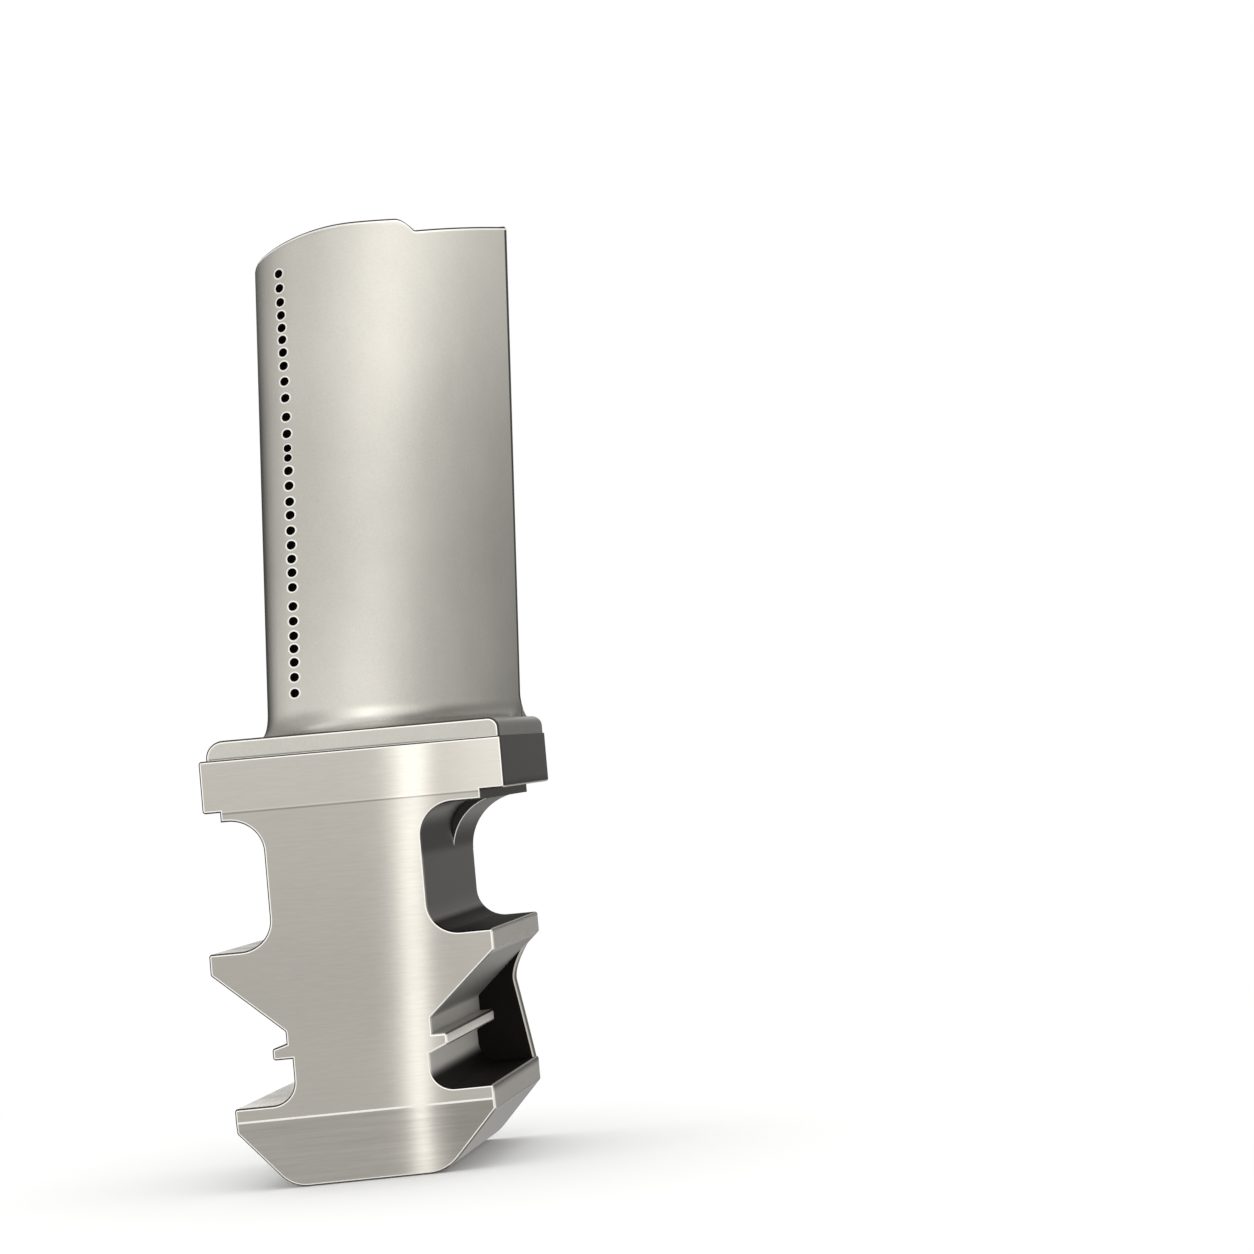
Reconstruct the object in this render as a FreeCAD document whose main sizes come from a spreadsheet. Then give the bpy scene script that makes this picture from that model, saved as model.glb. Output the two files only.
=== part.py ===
import FreeCAD, Part
import math
import os
import Sketcher
from FreeCAD import Placement, Rotation, Vector

# Cooled gas turbine blade, cast and ground in one piece.
# +Z runs from root to tip, +Y along the fir tree in the direction it slides into the disc,
# +X to the trailing edge. The origin is the middle of the flat foot of the root.

doc = FreeCAD.newDocument("TurbineBlade")

# Driving dimensions, in millimetres and degrees
sheet = doc.addObject("Spreadsheet::Sheet", "Sizes")
driving = [
    ("skew", 13.0, "angle between the end faces and square to the slot"),
    ("rootLength", 41.0, "length of root and platform along the slot"),
    ("footRight", 11.1, "foot's right edge, before its rounding"),
    ("footLeft", 12.5, "foot's left edge, before its rounding"),
    ("footRoundRight", 6.5, "rounding of the foot's right corner"),
    ("footRoundLeft", 5.0, "rounding of the foot's left corner"),
    ("facetTop", 11.0, "height of the sloping facet at the front of the foot"),
    ("facetRecess", 2.2, "how far that facet falls back at the foot"),
    ("lowToothHalf", 19.7, "half width over the lower teeth"),
    ("lowToothUnder", 9.3, "height of the lower tooth's tip, underside"),
    ("lowToothLand", 13.2, "height of the lower tooth's land"),
    ("lowGrooveHalf", 10.4, "half width in the lower groove"),
    ("lowGrooveRadius", 3.5, "radius of the lower groove"),
    ("nibHalf", 13.3, "half width over the two small ribs"),
    ("nibTop", 21.9, "height of the ribs' upper edge"),
    ("nibSide", 20.1, "height of the ribs' lower edge"),
    ("nibSlope", 1.3, "rise or fall of a rib's sloping flank"),
    ("highGrooveHalf", 11.1, "half width in the upper groove"),
    ("flankFoot", 24.4, "height where the upper tooth's flank starts"),
    ("highToothHalf", 21.6, "half width over the upper teeth"),
    ("highToothUnder", 34.1, "height of the upper tooth's tip, underside"),
    ("highToothLand", 37.4, "height of the upper tooth's land"),
    ("toothRound", 0.45, "rounding of the tooth tips"),
    ("neckHalf", 12.0, "half width of the neck"),
    ("neckFootRadius", 4.7, "fillet between neck and upper tooth"),
    ("neckHeadRadius", 5.1, "fillet between neck and flange"),
    ("gussetRadius", 8.6, "larger fillet at the back of the neck's right side"),
    ("gussetLength", 13.5, "length of that larger fillet"),
    ("flangeUnder", 57.7, "height of the flange's underside"),
    ("flangeHalf", 19.9, "half width of the flange"),
    ("flangeShift", 1.75, "flange set over to the right"),
    ("bandUnder", 59.2, "height of the platform's underside"),
    ("bandTop", 67.4, "height of the ground band round the platform"),
    ("bandHalf", 23.05, "half width of the platform"),
    ("bandShift", 2.3, "platform set over to the right"),
    ("castTop", 70.4, "height of the platform's as-cast top"),
    ("castInsetLeft", 1.1, "cast top set in from the band, left"),
    ("castInsetRight", 0.2, "cast top set in from the band, right"),
    ("castSetBack", 0.3, "cast top set back from the band, front and back"),
    ("castRoundLeft", 2.7, "rounding of the cast top, left"),
    ("castRoundRight", 1.7, "rounding of the cast top, right"),
    ("webThickness", 2.2, "thickness of the end web"),
    ("webWaist", 17.3, "half width of the web at its waist"),
    ("webWaistHeight", 26.2, "height of that waist"),
    ("webSwell", 18.4, "how wide the web's edge still is where it turns towards the waist"),
    ("webSwellHeight", 19.6, "height of that turn"),
    ("webRunOn", 0.4, "run of the edge past the waist, as a share of the run before it"),
    ("webRoot", 0.4, "how deep the web's ends sit in the teeth"),
    ("tipHeight", 151.5, "height of the blade's tip"),
    ("tipStep", 2.0, "how far the tip steps down towards the trailing edge"),
    ("tipRise", 1.0, "how far the stepped part rises again to the trailing edge"),
    ("tipStepStart", 14.6, "where that step starts"),
    ("tipStepEnd", 17.4, "where that step ends"),
    ("tipCrown", 8.0, "where the tip starts to fall towards the leading edge"),
    ("tipCrownRadius", 45.0, "radius of that fall"),
    ("tipWall", 1.2, "wall round the pocket in the tip"),
    ("tipPocketDepth", 1.8, "depth of that pocket"),
    ("tipPocketRoom", 2.2, "least half thickness where there is a pocket"),
    ("baseLeadX", -12.7, "leading edge at the platform"),
    ("baseLeadY", -9.5, ""),
    ("baseTurnX", 8.0, "corner of the camber line's tangents at the platform"),
    ("baseTurnY", -21.0, ""),
    ("baseTrailX", 22.8, "trailing edge at the platform"),
    ("baseTrailY", 18.0, ""),
    ("baseThick", 9.6, "greatest thickness at the platform"),
    ("tipLeadX", -10.6, "leading edge at the tip"),
    ("tipLeadY", 0.0, ""),
    ("tipTurnX", 10.0, "corner of the camber line's tangents at the tip"),
    ("tipTurnY", -16.6, ""),
    ("tipTrailX", 30.1, "trailing edge at the tip"),
    ("tipTrailY", 5.0, ""),
    ("tipThick", 7.0, "greatest thickness at the tip"),
    ("trailThick", 0.8, "thickness of the trailing edge"),
    ("bladeFillet", 3.8, "fillet between aerofoil and platform"),
    ("leadFilletShare", 0.25, "how much of that fillet is left at the leading edge"),
    ("leadFilletRun", 0.375, "share of the camber line over which it grows to its full size"),
    ("holeDiameter", 1.1, "film cooling hole"),
    ("holeFirst", 6.55, "the lowest hole, above the platform"),
    ("holeLast", 6.7, "the highest hole, below the tip"),
    ("baseHoleX", -7.2, "the row of holes, carried on to the platform"),
    ("tipHoleX", -5.55, "the row of holes, carried on to the tip"),
    ("holeBow", 0.63, "how far the middle of that row bows towards the trailing edge"),
    ("passageWidth", 2.8, "square cooling passage behind the leading edge"),
    ("inletDiameter", 3.0, "round inlet that feeds it from the foot"),
    ("passagePlace", 0.14, "place of the passage along the camber line"),
    ("inletX", -4.0, "mouth of the inlet in the foot"),
    ("inletY", -4.0, ""),
]
for row, (name, value, note) in enumerate(driving, start=1):
    sheet.set("A%d" % row, name)
    sheet.set("B%d" % row, str(value))
    sheet.set("C%d" % row, note)
    sheet.setAlias("B%d" % row, name)
doc.recompute()

# Each film hole's offset from an even pitch, in pitches, lowest hole first
holeOffsets = [0.0, 0.08, 0.09, 0.01, -0.11, -0.11, -0.1, 0.2, 0.21, 0.14,
               0.09, 0.09, 0.16, 0.08, 0.18, 0.22, 0.11, -0.22, -0.22, -0.05,
               0.27, 0.43, 0.52, 0.46, 0.35, 0.18, 0.07, -0.01, -0.02, 0.0]
filletSections = 6     # steps through the fillet at the platform
sidePoints = 40        # steps along each side of a section
sideDegree = 5         # degree of the curve laid through them
sideTolerance = 0.02   # how far it may pass from them
noseEnd = 0.5          # where the nose's curve ends, as the root of its share of the camber line
skinStep = 0.01        # step of that root over which the skin's direction is taken
pocketPoints = 7       # points on each side of the tip pocket
webPoints = 5          # straight runs in each half of the web's edge
halvings = 30          # steps that find a hole's mouth on the convex side
holeFlats = 12         # flats that stand for a film hole's round wall
overrun = 5.0          # how far cutters and blanks run past what they cut


def size(name):
    return float(sheet.get(name))


# Sketches: outlines whose corners are bound to the sheet

def polygon(sketch, corners):
    """Closed outline through corners, each a pair of expressions for its two coordinates."""
    places = [Vector(float(sketch.evalExpression(a)), float(sketch.evalExpression(b)), 0)
              for a, b in corners]
    first = sketch.GeometryCount
    count = len(places)
    for i in range(count):
        sketch.addGeometry(Part.LineSegment(places[i], places[(i + 1) % count]), False)
    for i in range(count):
        line, following = first + i, first + (i + 1) % count
        sketch.addConstraint(Sketcher.Constraint("Coincident", line, 2, following, 1))
    for i, (across, up) in enumerate(corners):
        for kind, value, expression in (("DistanceX", places[i].x, across),
                                        ("DistanceY", places[i].y, up)):
            index = sketch.addConstraint(
                Sketcher.Constraint(kind, -1, 1, first + i, 1, value))
            sketch.setExpression("Constraints[%d]" % index, expression)


def plane(body, role):
    return [part for part in body.Origin.OriginFeatures if part.Role == role][0]


def bodySketch(body, name, role, turn=False, depth=None):
    """Sketch on one of the body's planes, turned square to the slanting end faces if asked."""
    sketch = body.newObject("Sketcher::SketchObject", name)
    sketch.AttachmentSupport = [(plane(body, role), "")]
    sketch.MapMode = "FlatFace"
    if turn:
        sketch.AttachmentOffset = Placement(Vector(0, 0, 0), Rotation(Vector(0, 1, 0), 1))
        sketch.setExpression("AttachmentOffset.Rotation.Angle", "Sizes.skew * 1 deg")
    if depth:
        sketch.setExpression("AttachmentOffset.Base.z", depth)
    doc.recompute()
    return sketch


def edgesAlongSlot(shape, places):
    """Names of the edges that run along Y at the given (x, z) places."""
    found = []
    for x, z in places:
        for number, edge in enumerate(shape.Edges, start=1):
            ends = [vertex.Point for vertex in edge.Vertexes]
            if len(ends) != 2:
                continue
            along = abs(ends[0].x - ends[1].x) < 1e-4 and abs(ends[0].z - ends[1].z) < 1e-4
            if along and math.hypot(ends[0].x - x, ends[0].z - z) < 1e-3:
                found.append("Edge%d" % number)
    return found


def roundEdges(body, name, radius, places):
    before = body.Tip
    fillet = body.newObject("PartDesign::Fillet", name)
    fillet.Base = (before, edgesAlongSlot(before.Shape, places))
    fillet.setExpression("Radius", "Sizes." + radius)
    doc.recompute()
    return fillet


# Root and platform: one profile carried along the slot and trimmed by the slanting ends

root = doc.addObject("PartDesign::Body", "Root")
rightSide = [
    ("Sizes.footRight", "0 * Sizes.footRight"),
    ("Sizes.lowToothHalf", "Sizes.lowToothUnder"),
    ("Sizes.lowToothHalf", "Sizes.lowToothLand"),
    ("Sizes.lowGrooveHalf", "Sizes.lowToothLand"),
    ("Sizes.lowGrooveHalf", "Sizes.nibSide - Sizes.nibSlope"),
    ("Sizes.nibHalf", "Sizes.nibSide"),
    ("Sizes.nibHalf", "Sizes.nibTop"),
    ("Sizes.highGrooveHalf", "Sizes.nibTop"),
    ("Sizes.highGrooveHalf", "Sizes.flankFoot"),
    ("Sizes.highToothHalf", "Sizes.highToothUnder"),
    ("Sizes.highToothHalf", "Sizes.highToothLand"),
    ("Sizes.neckHalf", "Sizes.highToothLand"),
    ("Sizes.neckHalf", "Sizes.flangeUnder"),
    ("Sizes.flangeShift + Sizes.flangeHalf", "Sizes.flangeUnder"),
    ("Sizes.flangeShift + Sizes.flangeHalf", "Sizes.bandUnder"),
    ("Sizes.bandShift + Sizes.bandHalf", "Sizes.bandUnder"),
    ("Sizes.bandShift + Sizes.bandHalf", "Sizes.bandTop"),
    ("Sizes.bandShift + Sizes.bandHalf - Sizes.castInsetRight", "Sizes.bandTop"),
    ("Sizes.bandShift + Sizes.bandHalf - Sizes.castInsetRight", "Sizes.castTop"),
]
leftSide = [
    ("-Sizes.footLeft", "0 * Sizes.footLeft"),
    ("-Sizes.lowToothHalf", "Sizes.lowToothUnder"),
    ("-Sizes.lowToothHalf", "Sizes.lowToothLand"),
    ("-Sizes.lowGrooveHalf", "Sizes.lowToothLand"),
    ("-Sizes.lowGrooveHalf", "Sizes.nibSide"),
    ("-Sizes.nibHalf", "Sizes.nibSide"),
    ("-Sizes.nibHalf", "Sizes.nibTop"),
    ("-Sizes.highGrooveHalf", "Sizes.nibTop + Sizes.nibSlope / 2"),
    ("-Sizes.highGrooveHalf", "Sizes.flankFoot"),
    ("-Sizes.highToothHalf", "Sizes.highToothUnder"),
    ("-Sizes.highToothHalf", "Sizes.highToothLand"),
    ("-Sizes.neckHalf", "Sizes.highToothLand"),
    ("-Sizes.neckHalf", "Sizes.flangeUnder"),
    ("Sizes.flangeShift - Sizes.flangeHalf", "Sizes.flangeUnder"),
    ("Sizes.flangeShift - Sizes.flangeHalf", "Sizes.bandUnder"),
    ("Sizes.bandShift - Sizes.bandHalf", "Sizes.bandUnder"),
    ("Sizes.bandShift - Sizes.bandHalf", "Sizes.bandTop"),
    ("Sizes.bandShift - Sizes.bandHalf + Sizes.castInsetLeft", "Sizes.bandTop"),
    ("Sizes.bandShift - Sizes.bandHalf + Sizes.castInsetLeft", "Sizes.castTop"),
]
profile = bodySketch(root, "FirTreeProfile", "XZ_Plane")
polygon(profile, rightSide + leftSide[::-1])
blank = root.newObject("PartDesign::Pad", "FirTree")
blank.Profile = profile
blank.Midplane = True
slantRoom = "2 * (Sizes.bandHalf + Sizes.bandShift) * tan(Sizes.skew * 1 deg)"
blank.setExpression("Length", "Sizes.rootLength + %s + 2 * %g" % (slantRoom, overrun))
doc.recompute()

# Larger fillet at the back of the neck, right: a corner with a quarter circle cut from it
gusset = bodySketch(root, "GussetOutline", "XZ_Plane", depth="-(Sizes.rootLength / 2 + %g)"
                    % (2 * overrun))
corner = Vector(size("neckHalf"), size("flangeUnder"), 0)
reach = size("gussetRadius")
centre = Vector(corner.x + reach, corner.y - reach, 0)
gusset.addGeometry(Part.LineSegment(Vector(corner.x, centre.y, 0), corner), False)
gusset.addGeometry(Part.LineSegment(corner, Vector(centre.x, corner.y, 0)), False)
gusset.addGeometry(Part.ArcOfCircle(Part.Circle(centre, Vector(0, 0, 1), reach),
                                    math.pi / 2, math.pi), False)
for first, firstEnd, second, secondEnd in ((0, 2, 1, 1), (1, 2, 2, 1), (2, 2, 0, 1)):
    gusset.addConstraint(Sketcher.Constraint("Coincident", first, firstEnd, second, secondEnd))
for kind, value, expression in (("DistanceX", corner.x, "Sizes.neckHalf"),
                                ("DistanceY", corner.y, "Sizes.flangeUnder")):
    index = gusset.addConstraint(Sketcher.Constraint(kind, -1, 1, 1, 1, value))
    gusset.setExpression("Constraints[%d]" % index, expression)
gusset.addConstraint(Sketcher.Constraint("Vertical", 0))
gusset.addConstraint(Sketcher.Constraint("Horizontal", 1))
gusset.addConstraint(Sketcher.Constraint("Vertical", 2, 1, 2, 3))
gusset.addConstraint(Sketcher.Constraint("Horizontal", 2, 2, 2, 3))
index = gusset.addConstraint(Sketcher.Constraint("Radius", 2, reach))
gusset.setExpression("Constraints[%d]" % index, "Sizes.gussetRadius")

half = {name: size(name) for name, value, note in driving}
bothSides = (1, -1)
roundEdges(root, "LowGroove", "lowGrooveRadius",
           [(s * half["lowGrooveHalf"], half["lowToothLand"]) for s in bothSides])
roundEdges(root, "NeckFoot", "neckFootRadius",
           [(s * half["neckHalf"], half["highToothLand"]) for s in bothSides])
roundEdges(root, "NeckHead", "neckHeadRadius",
           [(s * half["neckHalf"], half["flangeUnder"]) for s in bothSides])
roundEdges(root, "ToothTips", "toothRound",
           [(s * half[width], half[height]) for s in bothSides for width, height in (
               ("lowToothHalf", "lowToothUnder"), ("lowToothHalf", "lowToothLand"),
               ("highToothHalf", "highToothUnder"), ("highToothHalf", "highToothLand"),
               ("nibHalf", "nibTop"), ("nibHalf", "nibSide"),
               ("highGrooveHalf", "flankFoot"))])
roundEdges(root, "FootRight", "footRoundRight", [(half["footRight"], 0.0)])
roundEdges(root, "FootLeft", "footRoundLeft", [(-half["footLeft"], 0.0)])
platformLeft = half["bandShift"] - half["bandHalf"] + half["castInsetLeft"]
platformRight = half["bandShift"] + half["bandHalf"] - half["castInsetRight"]
roundEdges(root, "CastLeft", "castRoundLeft", [(platformLeft, half["castTop"])])
roundEdges(root, "CastRight", "castRoundRight", [(platformRight, half["castTop"])])

gussetPad = root.newObject("PartDesign::Pad", "Gusset")
gussetPad.Profile = gusset
gussetPad.setExpression("Length", "Sizes.gussetLength + %g" % (2 * overrun))
doc.recompute()

# End web: closes the slot between the right-hand teeth at the back
web = bodySketch(root, "EndWebOutline", "XZ_Plane", turn=True,
                 depth="-Sizes.rootLength / 2 * cos(Sizes.skew * 1 deg)")
along = " / cos(Sizes.skew * 1 deg)"
webFoot = ("Sizes.lowToothHalf - Sizes.webRoot", "Sizes.lowToothLand - 2 * Sizes.webRoot")
webTurn = ("Sizes.webSwell", "Sizes.webSwellHeight")
webWaist = ("Sizes.webWaist", "Sizes.webWaistHeight")
webHead = ("Sizes.highToothHalf - Sizes.webRoot", "Sizes.highToothUnder + Sizes.webRoot")
webRise = ("Sizes.webWaist + Sizes.webRunOn * (Sizes.webWaist - Sizes.webSwell)",
           "Sizes.webWaistHeight + Sizes.webRunOn * (Sizes.webWaistHeight - Sizes.webSwellHeight)")


def curved(start, turn, end):
    """Corners along a parabola from start to end, each coordinate as an expression."""
    corners = []
    for i in range(webPoints + 1):
        t = i / webPoints
        corners.append(tuple("(%g * (%s) + %g * (%s) + %g * (%s))"
                             % ((1 - t) ** 2, a, 2 * t * (1 - t), b, t ** 2, c)
                             for a, b, c in zip(start, turn, end)))
    return corners


edge = curved(webFoot, webTurn, webWaist) + curved(webWaist, webRise, webHead)[1:]
polygon(web, [("Sizes.neckHalf / 2" + along, webFoot[1])]
        + [(across + along, up) for across, up in edge]
        + [("Sizes.neckHalf / 2" + along, webHead[1])])
webPad = root.newObject("PartDesign::Pad", "EndWeb")
webPad.Profile = web
webPad.setExpression("Length", "Sizes.webThickness")
doc.recompute()

# Slanting ends, with the facet at the front of the foot and the set back of the cast top
ends = bodySketch(root, "EndTrim", "YZ_Plane", turn=True)
face = "Sizes.rootLength / 2 * cos(Sizes.skew * 1 deg)"
far = "(Sizes.rootLength + 2 * Sizes.bandHalf)"
high = "(Sizes.castTop + %g)" % overrun
low = "(0 - %g)" % overrun
facetSlope = "Sizes.facetRecess / Sizes.facetTop"
polygon(ends, [
    ("-" + far, low),
    ("-%s + Sizes.facetRecess + %s * %g" % (face, facetSlope, overrun), low),
    ("-" + face, "Sizes.facetTop"),
    ("-" + face, "Sizes.bandTop"),
    ("-%s + Sizes.castSetBack" % face, "Sizes.bandTop"),
    ("-%s + Sizes.castSetBack" % face, high),
    ("-" + far, high)])
polygon(ends, [
    (face, low),
    (far, low),
    (far, high),
    (face + " - Sizes.castSetBack", high),
    (face + " - Sizes.castSetBack", "Sizes.bandTop"),
    (face, "Sizes.bandTop")])
untrimmed = root.Shape.Volume
trim = root.newObject("PartDesign::Pocket", "SlantingEnds")
trim.Profile = ends
trim.Midplane = True
trim.setExpression("Length", "4 * Sizes.bandHalf")
doc.recompute()
assert root.Shape.Volume < untrimmed

# Aerofoil: sections along a curved camber line, from platform to tip

def blend(name, share):
    """A size that runs evenly from the platform, share 0, to the tip, share 1."""
    return size("base" + name) * (1 - share) + size("tip" + name) * share


def camber(share, s):
    """Point and tangent at s, from 0 to 1, of a parabola through its two edges."""
    a = Vector(blend("LeadX", share), blend("LeadY", share), 0)
    b = Vector(blend("TurnX", share), blend("TurnY", share), 0)
    c = Vector(blend("TrailX", share), blend("TrailY", share), 0)
    point = a * (1 - s) ** 2 + b * 2 * s * (1 - s) + c * s ** 2
    tangent = (b - a) * (1 - s) + (c - b) * s
    return point, tangent.normalize()


def halfThickness(share, s):
    """Half the thickness at s: a round nose, fullest at about a third, thin at the end."""
    nose = 1.4845 * math.sqrt(s) - 0.63 * s - 1.758 * s ** 2 + 1.4215 * s ** 3 - 0.5180 * s ** 4
    return blend("Thick", share) * nose + size("trailThick") / 2 * s


def side(share, s, hand):
    """Point on the convex (-1) or concave (+1) side at s along the camber line."""
    point, tangent = camber(share, s)
    outward = Vector(-tangent.y, tangent.x, 0) * hand
    return point + outward * halfThickness(share, s)


def heightShare(z):
    return (z - size("castTop")) / (size("tipHeight") - size("castTop"))


def skin(share, t):
    """Point on a section, t from -1 at the trailing edge over 0 at the nose and the convex side to 1."""
    return side(share, t * t, -1 if t > 0 else 1)


def alongSkin(share, t):
    ahead, behind = min(t + skinStep, 1.0), max(t - skinStep, -1.0)
    return (skin(share, ahead) - skin(share, behind)).normalize()


def grown(z, t, grow):
    """That point at height z, moved outwards by grow, less so round the leading edge."""
    share = heightShare(z)
    run = alongSkin(share, t)
    shift = Vector(run.y, -run.x, 0) * grow
    if abs(t) == 1:
        shift += camber(share, 1)[1] * grow
    reached = min(1.0, t * t / size("leadFilletRun"))
    kept = size("leadFilletShare") + (1 - size("leadFilletShare")) * reached
    return skin(share, t) + shift * kept + Vector(0, 0, z)


def sectionWire(z, grow=0.0):
    """Outline at height z: concave side, nose with the row of holes, rest of the convex side."""
    curves = []
    for start, end in ((-1.0, 0.0), (0.0, noseEnd), (noseEnd, 1.0)):
        points = [grown(z, start + (end - start) * i / sidePoints, grow)
                  for i in range(sidePoints + 1)]
        curve = Part.BSplineCurve()
        curve.approximate(Points=points, DegMin=sideDegree, DegMax=sideDegree,
                          Tolerance=sideTolerance, Continuity="C2")
        curves.append(curve.toShape())
    closing = Part.makeLine(grown(z, 1.0, grow), grown(z, -1.0, grow))
    return Part.Wire(curves + [closing])


fillet = size("bladeFillet")
filletTop = size("castTop") + fillet
flareWires = []
for i in range(filletSections + 1):
    turn = math.pi / 2 * i / filletSections
    flareWires.append(sectionWire(filletTop - fillet * math.cos(turn),
                                  fillet * (1 - math.sin(turn))))
flare = Part.makeLoft(flareWires, True, True)

# All of a section's sizes run evenly with height, so two sections rule the whole span
aerofoil = doc.addObject("Part::Feature", "Aerofoil")
aerofoil.Shape = Part.makeLoft(
    [sectionWire(filletTop), sectionWire(size("tipHeight") + overrun)], True, True)

# The fillet stays within the flat of the platform's cast top
castFlat = max((f for f in root.Shape.Faces
                if abs(f.CenterOfMass.z - size("castTop")) < 1e-4), key=lambda f: f.Area)
footprint = doc.addObject("Part::Feature", "CastFlat")
footprint.Shape = castFlat.extrude(Vector(0, 0, fillet))
flareBlank = doc.addObject("Part::Feature", "FlareBlank")
flareBlank.Shape = flare
flareOnTop = doc.addObject("Part::Common", "Flare")
flareOnTop.Base = flareBlank
flareOnTop.Tool = footprint

solidBlade = doc.addObject("Part::MultiFuse", "SolidBlade")
solidBlade.Shapes = [root, aerofoil, flareOnTop]
doc.recompute()


# Tip: crowned towards the leading edge, stepped down towards the trailing edge, with a pocket

def tipCutter():
    """Everything above the tip's outline, carried along Y."""
    top, room = size("tipHeight"), size("rootLength")
    crown, radius = size("tipCrown"), size("tipCrownRadius")
    start, end, low = size("tipStepStart"), size("tipStepEnd"), top - size("tipStep")
    high = low + size("tipRise") * room / (size("tipTrailX") - end)
    bend = Vector((start + end) / 2, 0, top - size("tipStep") / 3)
    left = size("tipLeadX") - overrun

    def onCrown(x):
        return Vector(x, 0, top - radius + math.sqrt(radius ** 2 - (crown - x) ** 2))

    edges = [
        Part.Arc(onCrown(left), onCrown((left + crown) / 2), Vector(crown, 0, top)),
        Part.LineSegment(Vector(crown, 0, top), Vector(start, 0, top)),
        Part.Arc(Vector(start, 0, top), bend, Vector(end, 0, low)),
        Part.LineSegment(Vector(end, 0, low), Vector(end + room, 0, high)),
        Part.LineSegment(Vector(end + room, 0, high), Vector(end + room, 0, top + 2 * room)),
        Part.LineSegment(Vector(end + room, 0, top + 2 * room), Vector(left, 0, top + 2 * room)),
        Part.LineSegment(Vector(left, 0, top + 2 * room), onCrown(left))]
    outline = Part.Face(Part.Wire([edge.toShape() for edge in edges]))
    outline.translate(Vector(0, -room, 0))
    return outline.extrude(Vector(0, 2 * room, 0))


def tipPocket():
    """Shallow pocket inside the raised part of the tip, a wall's width in from its sides."""
    wall, floor = size("tipWall"), size("tipHeight") - size("tipPocketDepth")
    share = heightShare(floor)
    fits = [s / 100 for s in range(100)
            if halfThickness(share, s / 100) > size("tipPocketRoom")
            and side(share, s / 100, -1).x < size("tipStepStart") - wall]
    steps = [fits[0] + (fits[-1] - fits[0]) * i / pocketPoints for i in range(pocketPoints + 1)]
    sides = []
    for hand in (-1, 1):
        points = []
        for s in steps:
            middle = camber(share, s)[0]
            edge = side(share, s, hand)
            points.append(edge + (middle - edge).normalize() * wall + Vector(0, 0, floor))
        curve = Part.BSplineCurve()
        curve.interpolate(points)
        sides.append((curve.toShape(), points[0], points[-1]))
    (convex, convexStart, convexEnd), (concave, concaveStart, concaveEnd) = sides
    outline = Part.Wire(Part.__sortEdges__([
        convex, Part.makeLine(convexEnd, concaveEnd), concave,
        Part.makeLine(concaveStart, convexStart)]))
    return Part.Face(outline).extrude(Vector(0, 0, size("tipPocketDepth") + overrun))


# Cooling: a passage behind the leading edge, fed from the foot, and a row of film holes

def passagePoint(z):
    share = heightShare(z)
    return camber(share, size("passagePlace"))[0] + Vector(0, 0, z)


def drilled(start, end, diameter):
    run = end - start
    return Part.makeCylinder(diameter / 2, run.Length, start, run)


def passage(low, high):
    """Square bore from low to high, one side along the camber line."""
    along = camber(0, size("passagePlace"))[1] * (size("passageWidth") / 2)
    across = Vector(-along.y, along.x, 0)
    corners = [low + along + across, low + along - across,
               low - along - across, low - along + across]
    return Part.Face(Part.makePolygon(corners + corners[:1])).extrude(high - low)


def filmHole(outside, inside):
    """Small bore, drawn with flats so that its mesh stays light."""
    run, up = inside - outside, Vector(0, 0, 1)
    across = run.cross(up).normalize()
    reach = size("holeDiameter") / 2 / math.cos(math.pi / holeFlats)
    turns = [2 * math.pi * i / holeFlats for i in range(holeFlats + 1)]
    corners = [outside + across * reach * math.cos(turn) + up * reach * math.sin(turn)
               for turn in turns]
    return Part.Face(Part.makePolygon(corners)).extrude(run)


def coolingCuts():
    diameter = size("inletDiameter")
    first, last = size("castTop") + size("holeFirst"), size("tipHeight") - size("holeLast")
    pitch = (last - first) / (len(holeOffsets) - 1)
    low = passagePoint(size("castTop"))
    high = passagePoint(last + size("passageWidth") / 2)
    inlet = Vector(size("inletX"), size("inletY"), 0)
    inlet += (inlet - low).normalize() * overrun
    cuts = [drilled(inlet, low, diameter), Part.makeSphere(diameter / 2, low),
            passage(low, high)]
    for i, offset in enumerate(holeOffsets):
        z = first + pitch * (i + offset)
        share = heightShare(z)
        x = blend("HoleX", share) + 4 * size("holeBow") * share * (1 - share)
        near, far = 0.0, 0.5
        for halving in range(halvings):
            middle = (near + far) / 2
            if side(share, middle, -1).x < x:
                near = middle
            else:
                far = middle
        mouth = side(share, near, -1) + Vector(0, 0, z)
        inside = passagePoint(z)
        outside = mouth + (mouth - inside).normalize() * overrun / 2
        cuts.append(filmHole(outside, inside))
    return cuts


def cutter(name, shape):
    feature = doc.addObject("Part::Feature", name)
    feature.Shape = shape
    return feature


cooling = coolingCuts()
cuts = doc.addObject("Part::MultiFuse", "Cuts")
cuts.Shapes = [cutter("TipTrim", tipCutter()), cutter("TipPocket", tipPocket())] + [
    cutter("Cooling%d" % i, shape) for i, shape in enumerate(cooling)]
blade = doc.addObject("Part::Cut", "Blade")
blade.Base = solidBlade
blade.Tool = cuts
blade.Label = "turbine_blade"
doc.recompute()

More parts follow.
